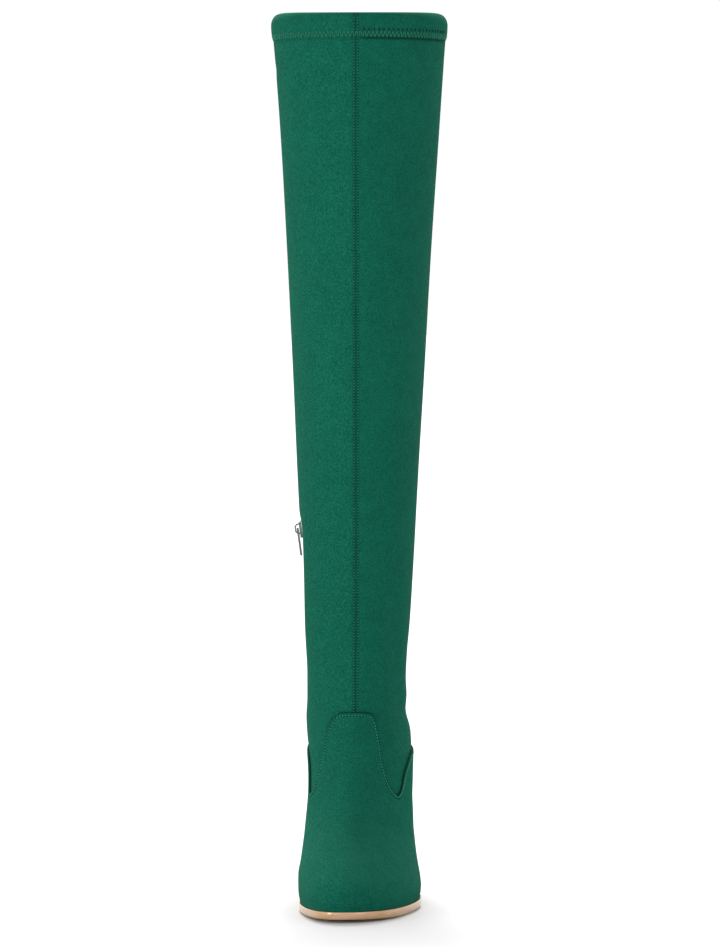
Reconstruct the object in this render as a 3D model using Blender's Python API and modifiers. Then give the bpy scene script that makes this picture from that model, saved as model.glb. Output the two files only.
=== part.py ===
"""Thigh-high boot with a block heel, a left boot standing on its heel and forefoot.

The toe points along -Y, +Z is up, and the inner side of the leg, with the zip, faces -X.
The origin is the middle of the heel's ground face. Sizes are in metres.
"""

import math

import bmesh
import bpy
import numpy as np
from mathutils import Matrix, Vector

MM = 0.001

# Foot: the form is the skin that the upper's lining touches.
FOOT_LENGTH = 225 * MM
HEEL_BACK = 30.5 * MM
BALL_WIDTH = 80.6 * MM
HEEL_HEIGHT = 76 * MM
TOE_SPRING = 1.2 * MM
TOE_SWING = 7.5 * MM
INSTEP_RISE = 104 * MM
COUNTER_RISE = 81 * MM

# Leg
BOOT_HEIGHT = 620 * MM
ANKLE_WIDTH = 72 * MM
ANKLE_DEPTH = 85 * MM
THIGH_WIDTH = 124.6 * MM
THIGH_DEPTH = 117 * MM

# Walls and seams
CLEARANCE = 0.3 * MM
UPPER_WALL = 1.4 * MM
SHAFT_WALL = 1.3 * MM
HEM_WALL = 2.6 * MM
HEM_HEIGHT = 16 * MM
HEM_STEP = 0.8 * MM
THROAT_HEIGHT = 129 * MM
SEAM_LAP = 8 * MM
FEATHER_EDGE = 1 * MM

# Sole and heel
SOLE_EDGE = 6.3 * MM
SOLE_WAIST = 3.2 * MM
WELT_OUT = 0.8 * MM
SOLE_TUCK = 1.6 * MM
SOLE_ROUND = 0.3 * MM
INSOLE_THICKNESS = 2.2 * MM
HEEL_SEAT_LENGTH = 57 * MM
HEEL_TIP_LENGTH = 45 * MM
HEEL_TIP_WIDTH = 47 * MM
HEEL_TIP_THICKNESS = 5 * MM
HEEL_HOLLOW = 1.5 * MM
HEEL_CURVE = 0.7
HEEL_DEEP = 0.45
HEEL_SQUARE = 0.8

# Zip on the inner side
ZIP_LINE = 3 * MM
ZIP_TOP = 261.5 * MM
ZIP_SLOT = 7 * MM
ZIP_TAPE = 26 * MM
TAPE_MARGIN = 1 * MM
ZIP_TAPE_THICKNESS = 0.7 * MM
ZIP_COIL = 4.6 * MM
ZIP_SET_IN = 2.2 * MM
ZIP_FLARE = 13 * MM
ZIP_FADE = 8 * MM
ZIP_GAP = 0.95 * MM
ZIP_END = 4 * MM
ZIP_SPANS = 22
COIL_DEPTH = 0.1 * MM
SLIDER_LENGTH = 12 * MM
SLIDER_WIDTH = 8.4 * MM
SLIDER_PLATE = 1.3 * MM
SLIDER_DOWN = 0.5 * MM
SLIDER_SEAT = 0.8 * MM
SLIDER_NARROW = 0.72
SLIDER_LOW_ROUND = 1 * MM
SLIDER_HIGH_ROUND = 2 * MM
BRIDGE_LENGTH = 7.6 * MM
BRIDGE_WIDTH = 2.2 * MM
BRIDGE_RISE = 4 * MM
BRIDGE_BAR = 1 * MM
BRIDGE_UP = 0.6 * MM
BRIDGE_SINK = 0.5 * MM
BRIDGE_SHOULDER = 0.6
BRIDGE_CREST = 0.55
PULL_LENGTH = 20 * MM
PULL_WIDTH = 5.4 * MM
PULL_WAIST = 3.4 * MM
PULL_END = 5.9 * MM
PULL_THICKNESS = 1.3 * MM
PULL_WINDOW = 4.6 * MM
PULL_WINDOW_WIDTH = 3 * MM
PULL_NECK = 8.4 * MM
PULL_PLAY = 0.45 * MM

# Levels of the foot, from the feather edge to the ankle. Front and back say where the level starts on
# the vamp's crest and ends on the heel's back. along is a share of FOOT_LENGTH from the heel's back,
# rise a share of INSTEP_RISE or COUNTER_RISE, and medial and lateral are shares of the half width.
# waist: how far the level has the sole's outline, follow: the sole's profile, crest: a narrower front.
FOOT_COLUMNS = (
    "front_along", "front_rise", "back_along", "back_rise",
    "medial", "lateral", "waist", "follow", "crest",
)
FOOT_ROWS = (
    (1.000, 0.000, 0.0000, 0.000, 1.000, 1.000, 1.00, 1.00, 0.00),
    (1.009, 0.058, -0.0155, 0.123, 1.030, 1.048, 0.85, 1.00, 0.00),
    (0.987, 0.154, -0.0210, 0.222, 1.034, 1.040, 0.65, 0.95, 0.00),
    (0.922, 0.250, -0.0200, 0.309, 1.000, 1.028, 0.50, 0.85, 0.00),
    (0.793, 0.370, -0.0180, 0.383, 0.980, 1.062, 0.40, 0.70, 0.10),
    (0.656, 0.519, -0.0135, 0.469, 1.000, 1.105, 0.30, 0.50, 0.30),
    (0.544, 0.654, -0.0090, 0.568, 1.035, 1.090, 0.20, 0.30, 0.36),
    (0.464, 0.740, -0.0045, 0.679, 1.040, 1.035, 0.12, 0.15, 0.28),
    (0.407, 0.846, -0.0020, 0.815, 1.010, 0.990, 0.06, 0.05, 0.14),
    (0.373, 1.000, -0.0045, 1.000, 1.010, 0.940, 0.00, 0.00, 0.04),
)

# Levels of the leg, from the ankle to the hem. height is a share of the leg, deepen, medial and
# lateral go from the ankle's size, 0, to the thigh's, 1, and front is the share of the depth in front.
LEG_COLUMNS = ("height", "deepen", "front", "medial", "lateral")
LEG_ROWS = (
    (0.0645, -0.016, 0.574, 0.085, 0.046),
    (0.161, 0.203, 0.508, 0.150, 0.152),
    (0.312, 0.625, 0.448, 0.285, 0.293),
    (0.462, 0.938, 0.426, 0.403, 0.449),
    (0.634, 1.030, 0.432, 0.548, 0.616),
    (0.828, 0.984, 0.459, 0.734, 0.844),
    (1.000, 1.000, 0.487, 0.958, 1.046),
)

# The feather edge's outline against an ellipse of the foot's length and half the ball's width.
OUTLINE_COLUMNS = ("along", "medial", "lateral")
OUTLINE_ROWS = (
    (1.000, 0.95, 1.40),
    (0.950, 0.93, 1.37),
    (0.900, 0.90, 1.32),
    (0.800, 0.905, 1.255),
    (0.700, 0.875, 1.225),
    (0.615, 0.80, 1.165),
    (0.500, 0.69, 1.00),
    (0.400, 0.63, 0.89),
    (0.300, 0.67, 0.86),
    (0.200, 0.79, 0.90),
    (0.100, 1.012, 1.05),
    (0.000, 1.32, 1.32),
)

# The sole's profile: rise is a share of the way from the forefoot's level up to the heel's seat.
PROFILE_COLUMNS = ("along", "rise")
PROFILE_ROWS = (
    (0.000, 1.000),
    (0.136, 0.936),
    (0.247, 0.858),
    (0.336, 0.687),
    (0.447, 0.387),
    (0.558, 0.110),
    (0.660, 0.000),
    (1.000, 0.000),
)
SPRING_START = 0.80
SPRING_POWER = 1.7
SWING_START = 0.4
SWING_POWER = 1.6
CREST_FALL = 2.6
LEAN_LIMIT = 0.95

# The throat line on either side, from the middle of the instep round to the heel's back: around is
# the column's place, 0 in front and 1 behind, and height a share of THROAT_HEIGHT.
THROAT_COLUMNS = ("around", "height")
THROAT_INNER = (
    (0.000, 1.000),
    (0.070, 0.995),
    (0.098, 0.977),
    (0.128, 0.940),
    (0.160, 0.845),
    (0.182, 0.742),
    (0.210, 0.636),
    (0.245, 0.575),
    (0.264, 0.567),
    (0.280, 0.610),
    (0.305, 0.740),
    (0.350, 0.785),
    (0.500, 0.830),
    (0.750, 0.930),
    (1.000, 0.970),
)
THROAT_OUTER = (
    (0.000, 1.000),
    (0.060, 0.995),
    (0.088, 0.977),
    (0.103, 0.934),
    (0.120, 0.814),
    (0.143, 0.667),
    (0.158, 0.612),
    (0.175, 0.576),
    (0.192, 0.562),
    (0.212, 0.593),
    (0.232, 0.650),
    (0.268, 0.713),
    (0.320, 0.765),
    (0.500, 0.820),
    (0.750, 0.930),
    (1.000, 0.970),
)

# The mesh: columns run up the boot, and the steps are shares of each piece's height.
UPPER_OUT = CLEARANCE + UPPER_WALL
FRONT_COLUMNS = 13
ARCH_COLUMNS = 2
BACK_COLUMNS = 8
FRONT_BIAS = 0.35
SLOT_START = 0.6
UPPER_STEPS = (0.06, 0.11, 0.18, 0.26, 0.34, 0.42, 0.5, SLOT_START, 0.7, 0.8, 0.9, 1.0)
SHAFT_STEPS = (0, 0.13, 0.26, 0.39, 0.53, 0.68, 0.82, 0.93, 1.0)
SOLE_STEPS = (0.0, 0.3, 0.65, 1.0)
HEEL_STEPS = (0, 0.2, 0.4, 0.6, 0.8, 1.0)
LEG_SPANS = 7
SHARP_ANGLE = math.radians(40)
LAST_ROW = len(FOOT_ROWS) + len(LEG_ROWS) - 1


def column(rows, columns, name):
    """One named column of a table, as an array."""
    place = columns.index(name)
    return np.array([row[place] for row in rows])


def curve_through(xs, ys):
    """A smooth curve through points of rising x that never overshoots them, as a function of x."""
    xs = np.asarray(xs, float)
    ys = np.asarray(ys, float)
    steps = np.diff(xs)
    slopes = np.diff(ys) / steps
    tangents = np.zeros(len(xs))
    tangents[0] = slopes[0]
    tangents[-1] = slopes[-1]
    for k in range(1, len(xs) - 1):
        before, after = slopes[k - 1], slopes[k]
        if before * after > 0:
            near = 2 * steps[k] + steps[k - 1]
            far = steps[k] + 2 * steps[k - 1]
            tangents[k] = (near + far) / (near / before + far / after)

    def value(x):
        x = min(max(x, xs[0]), xs[-1])
        k = min(int(np.searchsorted(xs, x, side="right")) - 1, len(steps) - 1)
        t = (x - xs[k]) / steps[k]
        rise = ys[k] * (1 + 2 * t) * (1 - t) ** 2 + ys[k + 1] * t * t * (3 - 2 * t)
        bend = tangents[k] * t * (1 - t) ** 2 - tangents[k + 1] * t * t * (1 - t)
        return float(rise + bend * steps[k])

    return value


def table_curve(rows, columns, across, name):
    """A smooth curve of one column of a table over another."""
    xs = column(rows, columns, across)
    ys = column(rows, columns, name)
    order = np.argsort(xs)
    return curve_through(xs[order], ys[order])


profile_rise = table_curve(PROFILE_ROWS, PROFILE_COLUMNS, "along", "rise")
outline_medial = table_curve(OUTLINE_ROWS, OUTLINE_COLUMNS, "along", "medial")
outline_lateral = table_curve(OUTLINE_ROWS, OUTLINE_COLUMNS, "along", "lateral")
throat_inner = table_curve(THROAT_INNER, THROAT_COLUMNS, "around", "height")
throat_outer = table_curve(THROAT_OUTER, THROAT_COLUMNS, "around", "height")


def along_of(y):
    """A place along the foot, 0 at the heel's back and 1 at the toe's tip."""
    return (HEEL_BACK - y) / FOOT_LENGTH


def spring(y):
    """How far the toe lifts off the ground at y."""
    past = max(0.0, (along_of(y) - SPRING_START) / (1 - SPRING_START))
    return TOE_SPRING * past**SPRING_POWER


def sole_thickness(y):
    """The outsole's edge, thick under the forefoot and thin at the waist."""
    return SOLE_EDGE + (SOLE_WAIST - SOLE_EDGE) * profile_rise(along_of(y))


def feather(y):
    """Height of the upper's lower edge."""
    forefoot = SOLE_EDGE + CLEARANCE
    return forefoot + (HEEL_HEIGHT - forefoot) * profile_rise(along_of(y)) + spring(y)


def foot_levels():
    """The foot's levels in metres, one dict for each row of the table."""
    levels = []
    for row in FOOT_ROWS:
        share = dict(zip(FOOT_COLUMNS, row))
        half = BALL_WIDTH / 2 + (ANKLE_WIDTH - BALL_WIDTH) / 2 * share["back_rise"]
        front_y = HEEL_BACK - share["front_along"] * FOOT_LENGTH
        levels.append({
            "front_y": front_y,
            "front_z": feather(front_y) + share["front_rise"] * INSTEP_RISE,
            "back_y": HEEL_BACK - share["back_along"] * FOOT_LENGTH,
            "back_z": HEEL_HEIGHT + share["back_rise"] * COUNTER_RISE,
            "medial": share["medial"] * half,
            "lateral": share["lateral"] * half,
            "waist": share["waist"],
            "follow": share["follow"],
            "crest": share["crest"],
        })
    return levels


def leg_levels():
    """The leg's levels in metres, one dict for each row of the table."""
    levels = []
    ankle = HEEL_HEIGHT + COUNTER_RISE
    for row in LEG_ROWS:
        share = dict(zip(LEG_COLUMNS, row))
        depth = ANKLE_DEPTH + (THIGH_DEPTH - ANKLE_DEPTH) * share["deepen"]
        z = ankle + (BOOT_HEIGHT - ankle) * share["height"]
        spread = (THIGH_WIDTH - ANKLE_WIDTH) / 2
        levels.append({
            "front_y": -depth * share["front"],
            "front_z": z,
            "back_y": depth * (1 - share["front"]),
            "back_z": z,
            "medial": ANKLE_WIDTH / 2 + spread * share["medial"],
            "lateral": ANKLE_WIDTH / 2 + spread * share["lateral"],
            "waist": 0.0,
            "follow": 0.0,
            "crest": 0.0,
        })
    return levels


LEVELS = foot_levels() + leg_levels()
LEVEL_CURVES = {
    key: curve_through(range(len(LEVELS)), [level[key] for level in LEVELS])
    for key in LEVELS[0]
}


def column_angle(around, level):
    """Angle of a column from the front, with its halfway column on the line of the zip."""
    share = (ZIP_LINE - level["front_y"]) / (level["back_y"] - level["front_y"])
    side = math.acos(1 - 2 * min(max(share, 0.02), 0.98))
    lean = min(max(4 * (side / math.pi - 0.5), -LEAN_LIMIT), LEAN_LIMIT)
    return math.pi * (around + lean * around * (1 - around))


def zip_hollow(y, z):
    """How far the zip draws the inner side in, fading out above the slider."""
    fade = min(max((ZIP_TOP + ZIP_FADE - z) / (2 * ZIP_FADE), 0.0), 1.0)
    bell = math.exp(-(((y - ZIP_LINE) / ZIP_FLARE) ** 2))
    return ZIP_SET_IN * fade * fade * (3 - 2 * fade) * bell


def form_point(s, v):
    """A point on the form. s runs round it from -1 at the back through the inner side, 0 in front and
    the outer side to 1 at the back, and v runs up it in levels."""
    level = {key: curve(v) for key, curve in LEVEL_CURVES.items()}
    angle = column_angle(abs(s), level)
    share = (1 - math.cos(angle)) / 2
    y = level["front_y"] + (level["back_y"] - level["front_y"]) * share
    along = along_of(y)
    outline = outline_medial(along) if s < 0 else outline_lateral(along)
    half = level["medial"] if s < 0 else level["lateral"]
    half *= level["waist"] * outline + 1 - level["waist"]
    half *= (1 - level["crest"] * (1 - share) ** CREST_FALL) * math.sin(angle)
    chord = level["front_z"] + (level["back_z"] - level["front_z"]) * share
    front_lift = level["front_z"] - feather(level["front_y"])
    back_lift = level["back_z"] - feather(level["back_y"])
    sole_line = feather(y) + front_lift + (back_lift - front_lift) * share
    z = chord + (sole_line - chord) * level["follow"]
    swing = -TOE_SWING * max(0.0, (along - SWING_START) / (1 - SWING_START)) ** SWING_POWER
    if s < 0:
        return Vector((swing - half + zip_hollow(y, z), y, z))
    return Vector((swing + half, y, z))


def wrapped(s):
    """s brought back into -1 to 1."""
    return (s + 1) % 2 - 1


def form_normal(s, v):
    """The form's outward direction."""
    step = 0.002
    low = max(v - step, 0.0)
    high = min(v + step, float(LAST_ROW))
    across = form_point(wrapped(s + step), v) - form_point(wrapped(s - step), v)
    up = form_point(s, high) - form_point(s, low)
    return across.cross(up).normalized()


def skin(s, v, out):
    """A point at a distance outside the form."""
    return form_point(s, v) + out * form_normal(s, v)


def outline_point(s, out):
    """A point of the feather edge moved outwards in plan, at the feather's height there."""
    step = 0.004
    along = form_point(wrapped(s + step), 0) - form_point(wrapped(s - step), 0)
    away = Vector((along.y, -along.x, 0)).normalized()
    point = form_point(s, 0) + out * away
    point.z = feather(point.y)
    return point


def level_at_height(s, z):
    """The v at which a column reaches a height."""
    low, high = 0.0, float(LAST_ROW)
    for _ in range(40):
        middle = (low + high) / 2
        if form_point(s, middle).z < z:
            low = middle
        else:
            high = middle
    return (low + high) / 2


def throat_at(s):
    """Height of the throat line on a column."""
    share = throat_inner(-s) if s < 0 else throat_outer(s)
    return THROAT_HEIGHT * share


def throat_level(s):
    """The v of the throat line on a column."""
    return level_at_height(s, throat_at(s))


def lap_level(s):
    """The v of the shaft's lower edge, tucked behind the throat."""
    return level_at_height(s, throat_at(s) - SEAM_LAP)


def zip_offset(v, distance):
    """s of a line that runs beside the zip's middle, behind it if distance is below 0."""
    step = 0.01
    speed = (form_point(-0.5 + step, v) - form_point(-0.5 - step, v)).length / (2 * step)
    return -0.5 + distance / speed


def column_at_y(y):
    """The column of the feather edge that passes y."""
    low, high = 0.0, 1.0
    for _ in range(40):
        middle = (low + high) / 2
        if form_point(middle, 0).y < y:
            low = middle
        else:
            high = middle
    return (low + high) / 2


def half_columns():
    """Columns of one side, from 0 in front, where they are denser, to the heel's breast and on to 1
    behind."""
    front = [k / FRONT_COLUMNS for k in range(FRONT_COLUMNS)]
    arch = [BREAST + (0.5 - BREAST) * k / ARCH_COLUMNS for k in range(ARCH_COLUMNS)]
    back = [0.5 + 0.5 * k / BACK_COLUMNS for k in range(BACK_COLUMNS + 1)]
    return [BREAST * ((1 - FRONT_BIAS) * t + FRONT_BIAS * t * t) for t in front] + arch + back


BREAST = column_at_y(HEEL_BACK - HEEL_SEAT_LENGTH)
HALF_RING = half_columns()
RING = [-t for t in reversed(HALF_RING)] + HALF_RING[1:-1]
ZIP_PLACE = BACK_COLUMNS


def column_at(place, v, pull=1.0):
    """s of a column at a level. On the inner side the columns next to the zip are pulled to the edges
    of its slot and of its tape, and those beyond share the rest of the way."""
    side = place - ZIP_PLACE
    even = RING[place]
    if side == 0 or even >= 0:
        return even
    forward = 1 if side > 0 else -1
    if abs(side) == 1:
        target = zip_offset(v, forward * ZIP_SLOT / 2)
    else:
        edge = zip_offset(v, forward * (ZIP_TAPE / 2 + TAPE_MARGIN))
        far = 0 if side > 0 else -1
        target = far + (edge - far) * (even - far) / (RING[ZIP_PLACE + 2 * forward] - far)
    return even + (target - even) * pull


def collection(name):
    """A new collection in the scene."""
    made = bpy.data.collections.new(name)
    bpy.context.scene.collection.children.link(made)
    return made


def material(name, colour, roughness, metallic=0.0):
    """A plain material."""
    made = bpy.data.materials.new(name)
    made.use_nodes = True
    shader = made.node_tree.nodes["Principled BSDF"]
    shader.inputs["Base Color"].default_value = (*colour, 1)
    shader.inputs["Roughness"].default_value = roughness
    shader.inputs["Metallic"].default_value = metallic
    return made


def add_object(name, mesh, home, finish):
    """An object of a mesh, shaded smooth apart from its sharp edges."""
    made = bpy.data.objects.new(name, mesh)
    home.objects.link(made)
    if finish:
        mesh.materials.append(finish)
    mesh.shade_smooth()
    mesh.set_sharp_from_angle(angle=SHARP_ANGLE)
    return made


def mesh_from(name, build):
    """A mesh made by a function that fills a bmesh."""
    shape = bmesh.new()
    build(shape)
    mesh = bpy.data.meshes.new(name)
    shape.to_mesh(mesh)
    shape.free()
    return mesh


def grid_faces(shape, grid, skip):
    """Quads between neighbouring columns and rows of vertices, all the way round."""
    for i in range(len(grid)):
        after = (i + 1) % len(grid)
        for j in range(len(grid[0]) - 1):
            if skip(i, j):
                continue
            corners = (grid[i][j], grid[after][j], grid[after][j + 1], grid[i][j + 1])
            shape.faces.new(corners)
    loose = [vertex for vertex in shape.verts if not vertex.link_faces]
    bmesh.ops.delete(shape, geom=loose, context="VERTS")


def add_wall(made, thickness, group=""):
    """Gives an open surface its wall, inwards."""
    wall = made.modifiers.new("wall", "SOLIDIFY")
    wall.thickness = thickness
    wall.offset = -1
    wall.use_even_offset = True
    wall.vertex_group = group


def build_upper(home, finish):
    """Vamp and counter in one hollow piece, open below and at the throat, slotted for the zip."""
    slot_start = UPPER_STEPS.index(SLOT_START) + 2

    def build(shape):
        grid = []
        for place, start in enumerate(RING):
            edge = outline_point(start, UPPER_OUT)
            line = [shape.verts.new(edge + Vector((0, 0, lift))) for lift in (0, FEATHER_EDGE)]
            for share in UPPER_STEPS:
                s = start
                for _ in range(2):
                    v = lap_level(s) * share
                    s = column_at(place, v, min(share / SLOT_START, 1.0))
                line.append(shape.verts.new(skin(s, v, UPPER_OUT)))
            v = throat_level(s)
            line.append(shape.verts.new(skin(column_at(place, v), v, UPPER_OUT)))
            grid.append(line)

        def in_slot(i, j):
            return i in (ZIP_PLACE - 1, ZIP_PLACE) and j >= slot_start

        grid_faces(shape, grid, in_slot)

    made = add_object("upper", mesh_from("upper", build), home, finish)
    add_wall(made, UPPER_WALL)


def build_shaft(home, finish):
    """The stretch leg: tucked into the upper below, slotted for the zip, with a turned hem on top."""
    level = level_at_height(-0.5, ZIP_TOP)
    hem = [BOOT_HEIGHT - HEM_HEIGHT - HEM_STEP, BOOT_HEIGHT - HEM_HEIGHT, BOOT_HEIGHT]
    above_zip = level_at_height(-0.5, ZIP_TOP + ZIP_FADE)
    high_levels = [above_zip + (level_at_height(0, hem[0]) - above_zip) * k / LEG_SPANS
                   for k in range(LEG_SPANS + 1)]
    high_levels += [level_at_height(0, z) for z in hem[1:]]

    def build(shape):
        weights = shape.verts.layers.deform.verify()
        grid = []
        for place, start in enumerate(RING):
            s = start
            for _ in range(2):
                v = lap_level(s)
                s = column_at(place, v)
            line = [shape.verts.new(skin(s, v, 0))]
            for share in SHAFT_STEPS:
                for _ in range(2):
                    throat = throat_level(s)
                    v = throat + (level - throat) * share
                    s = column_at(place, v)
                line.append(shape.verts.new(skin(s, v, 0)))
            for v in high_levels:
                line.append(shape.verts.new(skin(column_at(place, v), v, 0)))
            for j, vertex in enumerate(line):
                in_hem = j >= len(line) - 2
                vertex[weights][0] = 1.0 if in_hem else SHAFT_WALL / HEM_WALL
            grid.append(line)

        def in_slot(i, j):
            return i in (ZIP_PLACE - 1, ZIP_PLACE) and j < len(SHAFT_STEPS)

        grid_faces(shape, grid, in_slot)

    made = add_object("shaft", mesh_from("shaft", build), home, finish)
    made.vertex_groups.new(name="wall")
    add_wall(made, HEM_WALL, "wall")


def plate_faces(shape, rings, turn=0):
    """Closes a stack of rings whose points pair up across, the first with the last, or with turn 1
    the first with itself."""
    count = len(rings[0])
    for low, high in zip(rings, rings[1:]):
        for k in range(count):
            after = (k + 1) % count
            shape.faces.new((low[k], low[after], high[after], high[k]))
    for ring in (rings[0], rings[-1]):
        for k in range(count // 2):
            facing = count - 1 - k + turn
            corners = [ring[k], ring[k + 1], ring[facing - 1], ring[facing % count]]
            unlike = list(dict.fromkeys(corners))
            if len(unlike) > 2:
                shape.faces.new(unlike)
    bmesh.ops.recalc_face_normals(shape, faces=shape.faces)


def build_outsole(home, finish):
    """The outsole, from the toe's tip back to the heel's breast."""
    half = [t for t in HALF_RING if t <= BREAST]
    places = [-t for t in reversed(half)] + half[1:]
    edge = UPPER_OUT + WELT_OUT
    outs = (edge - SOLE_TUCK, edge - SOLE_ROUND, edge, edge - SOLE_ROUND)

    def build(shape):
        rings = []
        for share, out in zip(SOLE_STEPS, outs):
            ring = []
            for s in places:
                point = outline_point(s, out)
                if abs(s) == BREAST:
                    point.y -= CLEARANCE
                point.z = feather(point.y) - CLEARANCE - sole_thickness(point.y) * (1 - share)
                ring.append(shape.verts.new(point))
            rings.append(ring)
        plate_faces(shape, rings)

    add_object("outsole", mesh_from("outsole", build), home, finish)


def build_insole(home, finish):
    """The insole board and sock, inside the upper from toe to heel."""
    def build(shape):
        rings = []
        for lift in (0.0, INSOLE_THICKNESS):
            ring = []
            for s in RING:
                point = outline_point(s, -CLEARANCE)
                ring.append(shape.verts.new(point + Vector((0, 0, lift))))
            rings.append(ring)
        plate_faces(shape, rings, turn=1)

    add_object("insole", mesh_from("insole", build), home, finish)


def heel_ground(share):
    """The heel's ground outline on the outer side, from 0 at the middle of its back to 1 at the
    breast's corner."""
    bend = min(share / HEEL_CURVE, 1.0) * math.pi / 2
    straight = max(share - HEEL_CURVE, 0.0) / (1 - HEEL_CURVE)
    x = HEEL_TIP_WIDTH / 2 * math.sin(bend) ** HEEL_SQUARE
    deep = HEEL_DEEP * (1 - math.cos(bend) ** HEEL_SQUARE) + (1 - HEEL_DEEP) * straight
    return x, HEEL_TIP_LENGTH * (0.5 - deep)


def heel_columns():
    """Columns of the heel's outline, with the side of each, from one breast corner round the back."""
    half = [t for t in HALF_RING if t >= BREAST]
    places = [(-1, t) for t in half] + [(1, t) for t in reversed(half[:-1])]
    return [(side, t, (1 - t) / (1 - BREAST)) for side, t in places]


def heel_point(side, t, around, share):
    """A point of the heel block, from its ground outline at share 0 up to the seat at 1."""
    top = outline_point(side * t, UPPER_OUT)
    top.z -= CLEARANCE
    x, y = heel_ground(around)
    point = Vector((side * x, y, HEEL_TIP_THICKNESS + CLEARANCE)).lerp(top, share)
    hollow = 1 - HEEL_HOLLOW / HEEL_TIP_WIDTH * math.sin(math.pi * share)
    return Vector((point.x * hollow, point.y * hollow, point.z))


def build_heel(home, finish, tip_finish):
    """The covered block heel and the rubber piece under it."""
    columns = heel_columns()

    def block(shape):
        rings = []
        for share in HEEL_STEPS:
            rings.append([shape.verts.new(heel_point(*place, share)) for place in columns])
        plate_faces(shape, rings)

    def tip(shape):
        rings = []
        for z in (0, HEEL_TIP_THICKNESS):
            ring = []
            for side, _, around in columns:
                x, y = heel_ground(around)
                ring.append(shape.verts.new((side * x, y, z)))
            rings.append(ring)
        plate_faces(shape, rings)

    add_object("heel_block", mesh_from("heel_block", block), home, finish)
    add_object("heel_tip", mesh_from("heel_tip", tip), home, tip_finish)


def ribbon(shape, places, outer, inner, bottom, top):
    """A closed strip that follows the zip's line between two depths below the form. places are its
    points across, from the heel's side to the toe's."""
    corners = [(place, outer) for place in places] + [(place, inner) for place in reversed(places)]
    rings = []
    for k in range(ZIP_SPANS + 1):
        v = level_at_height(-0.5, bottom + (top - bottom) * k / ZIP_SPANS)
        ring = [shape.verts.new(skin(zip_offset(v, place), v, -depth)) for place, depth in corners]
        rings.append(ring)
    plate_faces(shape, rings)


def zip_bottom():
    """Height of the slot's lower end."""
    return form_point(-0.5, lap_level(-0.5) * SLOT_START).z


def join(made, other):
    """Boolean union of a hidden object into a shown one."""
    union = made.modifiers.new("join " + other.name, "BOOLEAN")
    union.operation = "UNION"
    union.object = other
    other.hide_render = True
    other.display_type = "WIRE"


def build_zip_chain(home, helpers, finish):
    """The two tapes and the closed coil between them, behind the slot."""
    face = SHAFT_WALL + ZIP_GAP
    back = face + ZIP_TAPE_THICKNESS
    half_tape = [ZIP_SLOT / 2, (ZIP_SLOT + ZIP_TAPE) / 4, ZIP_TAPE / 2]
    across = [-place for place in reversed(half_tape)] + [0] + half_tape
    low = zip_bottom()
    top = ZIP_TOP - CLEARANCE

    def tape(shape):
        ribbon(shape, across, face, back, low - ZIP_END, top + ZIP_END)

    def coil(shape):
        places = [-ZIP_COIL / 2, 0, ZIP_COIL / 2]
        ribbon(shape, places, COIL_DEPTH, (face + back) / 2, low + CLEARANCE, top)

    made = add_object("zip_chain", mesh_from("zip_chain", tape), home, finish)
    join(made, add_object("zip_coil", mesh_from("zip_coil", coil), helpers, finish))


def slider_frame():
    """The slider's place: X across the zip, Y up along it and Z out of the leg."""
    top = ZIP_TOP - SLIDER_DOWN
    high = form_point(-0.5, level_at_height(-0.5, top))
    low = form_point(-0.5, level_at_height(-0.5, top - SLIDER_LENGTH))
    up = (high - low).normalized()
    across = up.cross(form_normal(-0.5, level_at_height(-0.5, top - SLIDER_LENGTH / 2))).normalized()
    out = across.cross(up)
    place = Matrix((across, up, out)).transposed().to_4x4()
    place.translation = (high + low) / 2 + out * SLIDER_SEAT
    return place


def flat_outline(name, corners, bottom, top, cut=None):
    """A plate of a flat outline, with an outline cut out of it where one is given."""
    curve = bpy.data.curves.new(name, "CURVE")
    curve.dimensions = "2D"
    curve.fill_mode = "BOTH"
    curve.extrude = (top - bottom) / 2
    for outline in (corners, cut):
        if not outline:
            continue
        spline = curve.splines.new("POLY")
        spline.points.add(len(outline) - 1)
        for point, (x, y) in zip(spline.points, outline):
            point.co = (x, y, 0, 1)
        spline.use_cyclic_u = True
    holder = bpy.data.objects.new(name, curve)
    bpy.context.scene.collection.objects.link(holder)
    mesh = bpy.data.meshes.new_from_object(holder.evaluated_get(bpy.context.evaluated_depsgraph_get()))
    bpy.data.objects.remove(holder)
    shape = bmesh.new()
    shape.from_mesh(mesh)
    bmesh.ops.remove_doubles(shape, verts=shape.verts, dist=1e-6)
    bmesh.ops.translate(shape, verts=shape.verts, vec=(0, 0, (top + bottom) / 2))
    shape.to_mesh(mesh)
    shape.free()
    return mesh


def arc(centre, radius, start, end, count):
    """Points of an arc, its angles in degrees."""
    points = []
    for k in range(count + 1):
        angle = math.radians(start + (end - start) * k / count)
        points.append((centre[0] + radius * math.cos(angle), centre[1] + radius * math.sin(angle)))
    return points


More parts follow.
